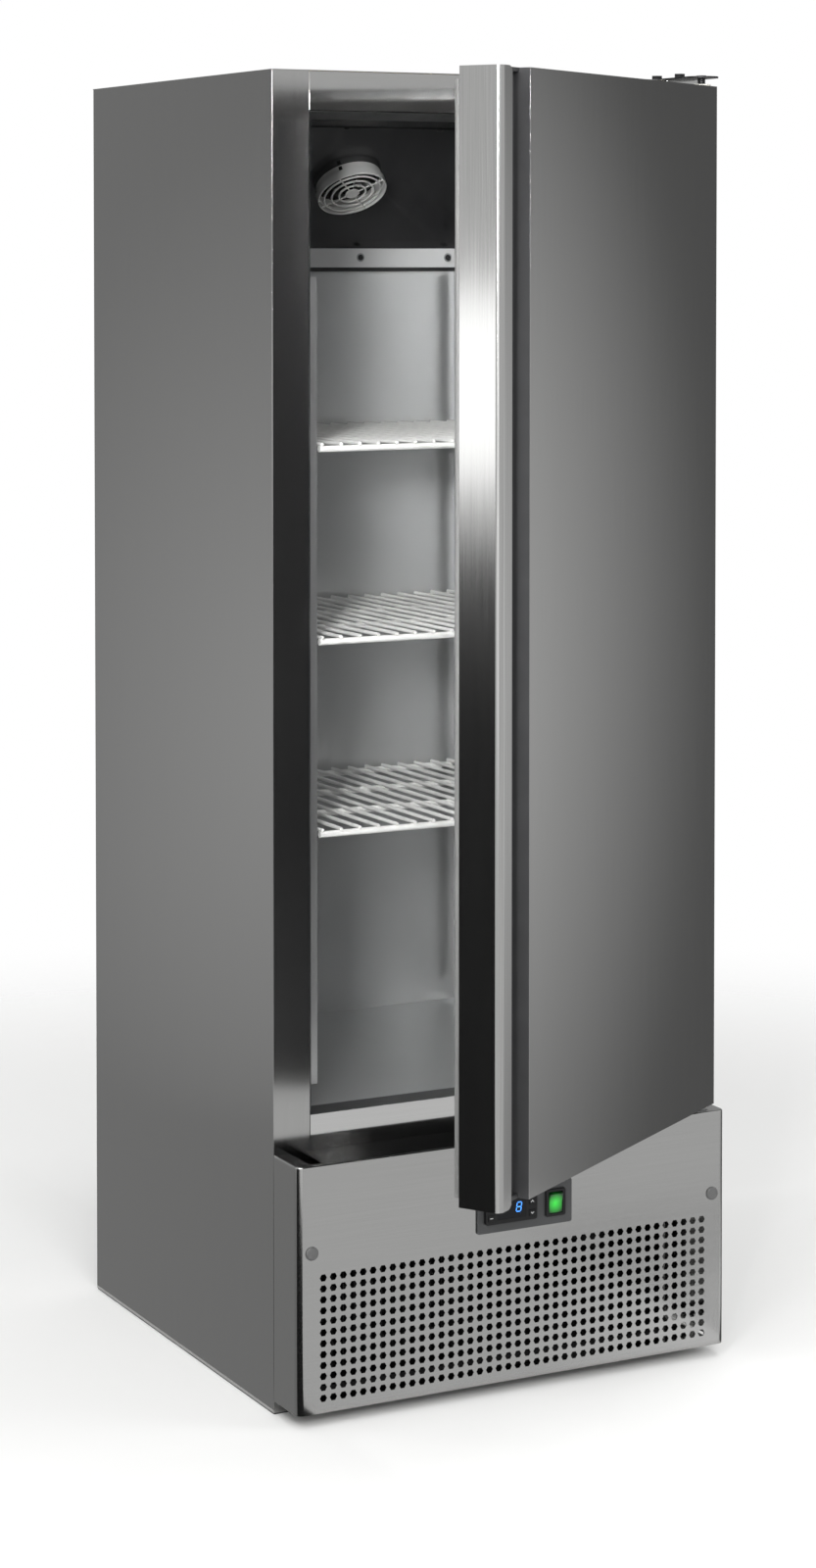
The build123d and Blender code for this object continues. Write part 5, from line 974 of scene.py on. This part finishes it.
# grey cards that the steel mirrors: a bent strip, its span, and a tone that falls off round a centre
cards = [
    {"name": "leftBackCard", "path": [(-0.36, 0.004, 0), (1.5, 0.004, 0.4), (1.5, 2.6, 0)], "along": "X",
     "span": (-1.6, -0.312), "centre": (-1.25, 1.5, 0.6), "reach": (0.65, 0.9, 1.1), "tones": (0.36, 0.68)},
    {"name": "farLeftCard", "path": [(0.9, 0.004, 0), (1.5, 0.004, 0.4), (1.5, 2.6, 0)], "along": "X",
     "span": (-3.2, -1.6), "centre": (-1.9, 1.5, 2.1), "reach": (1.5, 1.5, 1.2), "tones": (0.1, 0.6)},
    {"name": "leftFrontCard", "path": [(-0.27, 0.004, 0), (-1.9, 0.004, 0.2), (-1.9, 0.96, 0)], "along": "Y",
     "span": (-1.25, -0.36), "centre": (-1.9, -0.75, 1.05), "reach": (0.5, 1.5, 0.35), "tones": (0.02, 0.15)},
    {"name": "rightCard", "path": [(0.35, 0.004, 0), (1.2, 0.004, 0.2), (1.2, 2.6, 0)], "along": "Y",
     "span": (-1.0, 0.25), "centre": (1.2, -0.85, 0.85), "reach": (1.6, 0.62, 1.4), "tones": (0.17, 1.55)},
    {"name": "rightBackCard", "path": [(0.35, 0.004, 0), (1.9, 0.004, 0.4), (1.9, 2.6, 0)], "along": "Y",
     "span": (0.3, 2.4), "centre": (1.9, 1.3, 0.9), "reach": (1.4, 1.2, 1.3), "tones": (0.3, 0.75)},
    {"name": "frontCard", "path": [(-5.4, 0.004, 0), (-5.4, 3.0, 0)], "along": "X",
     "span": (-5.0, -1.2), "centre": (-3.0, -5.4, 1.0), "reach": (3.0, 3.0, 3.0), "tones": (1.2, 2.0)},
    {"name": "floorCard", "path": [(-0.4, 0.004, 0), (-2.2, 0.004, 0)], "along": "X",
     "span": (-0.26, 1.6), "centre": (0.5, -0.42, 0.0), "reach": (0.45, 0.35, 1.0), "tones": (0.96, 1.5)},
]


def hangCard(card):
    bm = bmesh.new()
    rows = []
    for v in bendPath(card["path"], 8):
        spots = [(h, v.x, v.y) if card["along"] == "X" else (v.x, h, v.y) for h in card["span"]]
        rows.append([bm.verts.new(spot) for spot in spots])
    for a, b in zip(rows, rows[1:]):
        bm.faces.new((a[0], b[0], b[1], a[1]))
    mesh = meshFrom(card["name"], bm)
    material = bpy.data.materials.new(card["name"] + "Paper")
    material.use_nodes = True
    tree = material.node_tree
    tree.nodes.clear()
    low, high = card["tones"]
    place = addNode(tree, "ShaderNodeTexCoord").outputs["Object"]
    fade = fadeFrom(tree, place, card["centre"], card["reach"])
    tone = addNode(tree, "ShaderNodeMapRange", {"Value": fade, "To Min": low, "To Max": high})
    paper = addNode(tree, "ShaderNodeEmission", {"Strength": tone.outputs["Result"]})
    addNode(tree, "ShaderNodeOutputMaterial", {"Surface": paper.outputs[0]})
    mesh.materials.append(material)
    piece = addObject(card["name"], mesh)
    for ray in ("camera", "diffuse", "shadow", "transmission", "volume_scatter"):
        setattr(piece, "visible_" + ray, False)


def layFloor():
    bm = bmesh.new()
    bmesh.ops.create_circle(bm, cap_ends=True, segments=96, radius=studio["floorSize"])
    mesh = meshFrom("studioFloor", bm)
    floor = addObject("studioFloor", mesh)
    constants = {"Base Color": hexColour(studio["floor"]), "Roughness": studio["floorRough"]}
    material, tree, shader, place = startMaterial("paleFloor", constants)
    fade = fadeFrom(tree, place, (0, 0, 0), (studio["fadeRadius"],) * 3)
    ends = {"Value": fade, "From Min": 0.0, "From Max": studio["fadeEnd"]}
    ramp = addNode(tree, "ShaderNodeMapRange", ends, interpolation_type="SMOOTHSTEP")
    clear = addNode(tree, "ShaderNodeBsdfTransparent")
    shaders = {0: ramp.outputs["Result"], 1: clear.outputs[0], 2: shader.outputs[0]}
    mix = addNode(tree, "ShaderNodeMixShader", shaders)
    setInputs(tree, tree.nodes["Material Output"], {"Surface": mix.outputs[0]})
    mesh.materials.append(material)


def lightRoom():
    world = bpy.data.worlds.new("studioWorld")
    scene.world = world
    world.use_nodes = True
    tree = world.node_tree
    ray = addNode(tree, "ShaderNodeLightPath").outputs
    seen = ray["Is Camera Ray"]
    for kind in ("Is Glossy Ray", "Is Transmission Ray"):
        seen = addNode(tree, "ShaderNodeMath", {0: seen, 1: ray[kind]}, operation="MAXIMUM").outputs[0]
    level = addNode(tree, "ShaderNodeMapRange", {"Value": seen, "To Min": studio["roomLight"], "To Max": 1.0})
    white = {"Color": (1, 1, 1, 1), "Strength": level.outputs["Result"]}
    setInputs(tree, tree.nodes["Background"], white)
    for lamp in lamps:
        data = bpy.data.lights.new(lamp["name"], "AREA")
        data.shape = "RECTANGLE"
        data.size, data.size_y = lamp["size"]
        data.energy = lamp["power"]
        data.spread = math.radians(lamp.get("spread", 180))
        light = addObject(lamp["name"], data)
        light.location = lamp["place"]
        light.visible_camera = False
        light.visible_glossy = lamp.get("mirrored", True)
        aim = Vector(lamp["aim"]) - Vector(lamp["place"])
        light.rotation_euler = aim.to_track_quat("-Z", "Y").to_euler()


layFloor()
lightRoom()
for card in cards:
    hangCard(card)
print("studio lit")
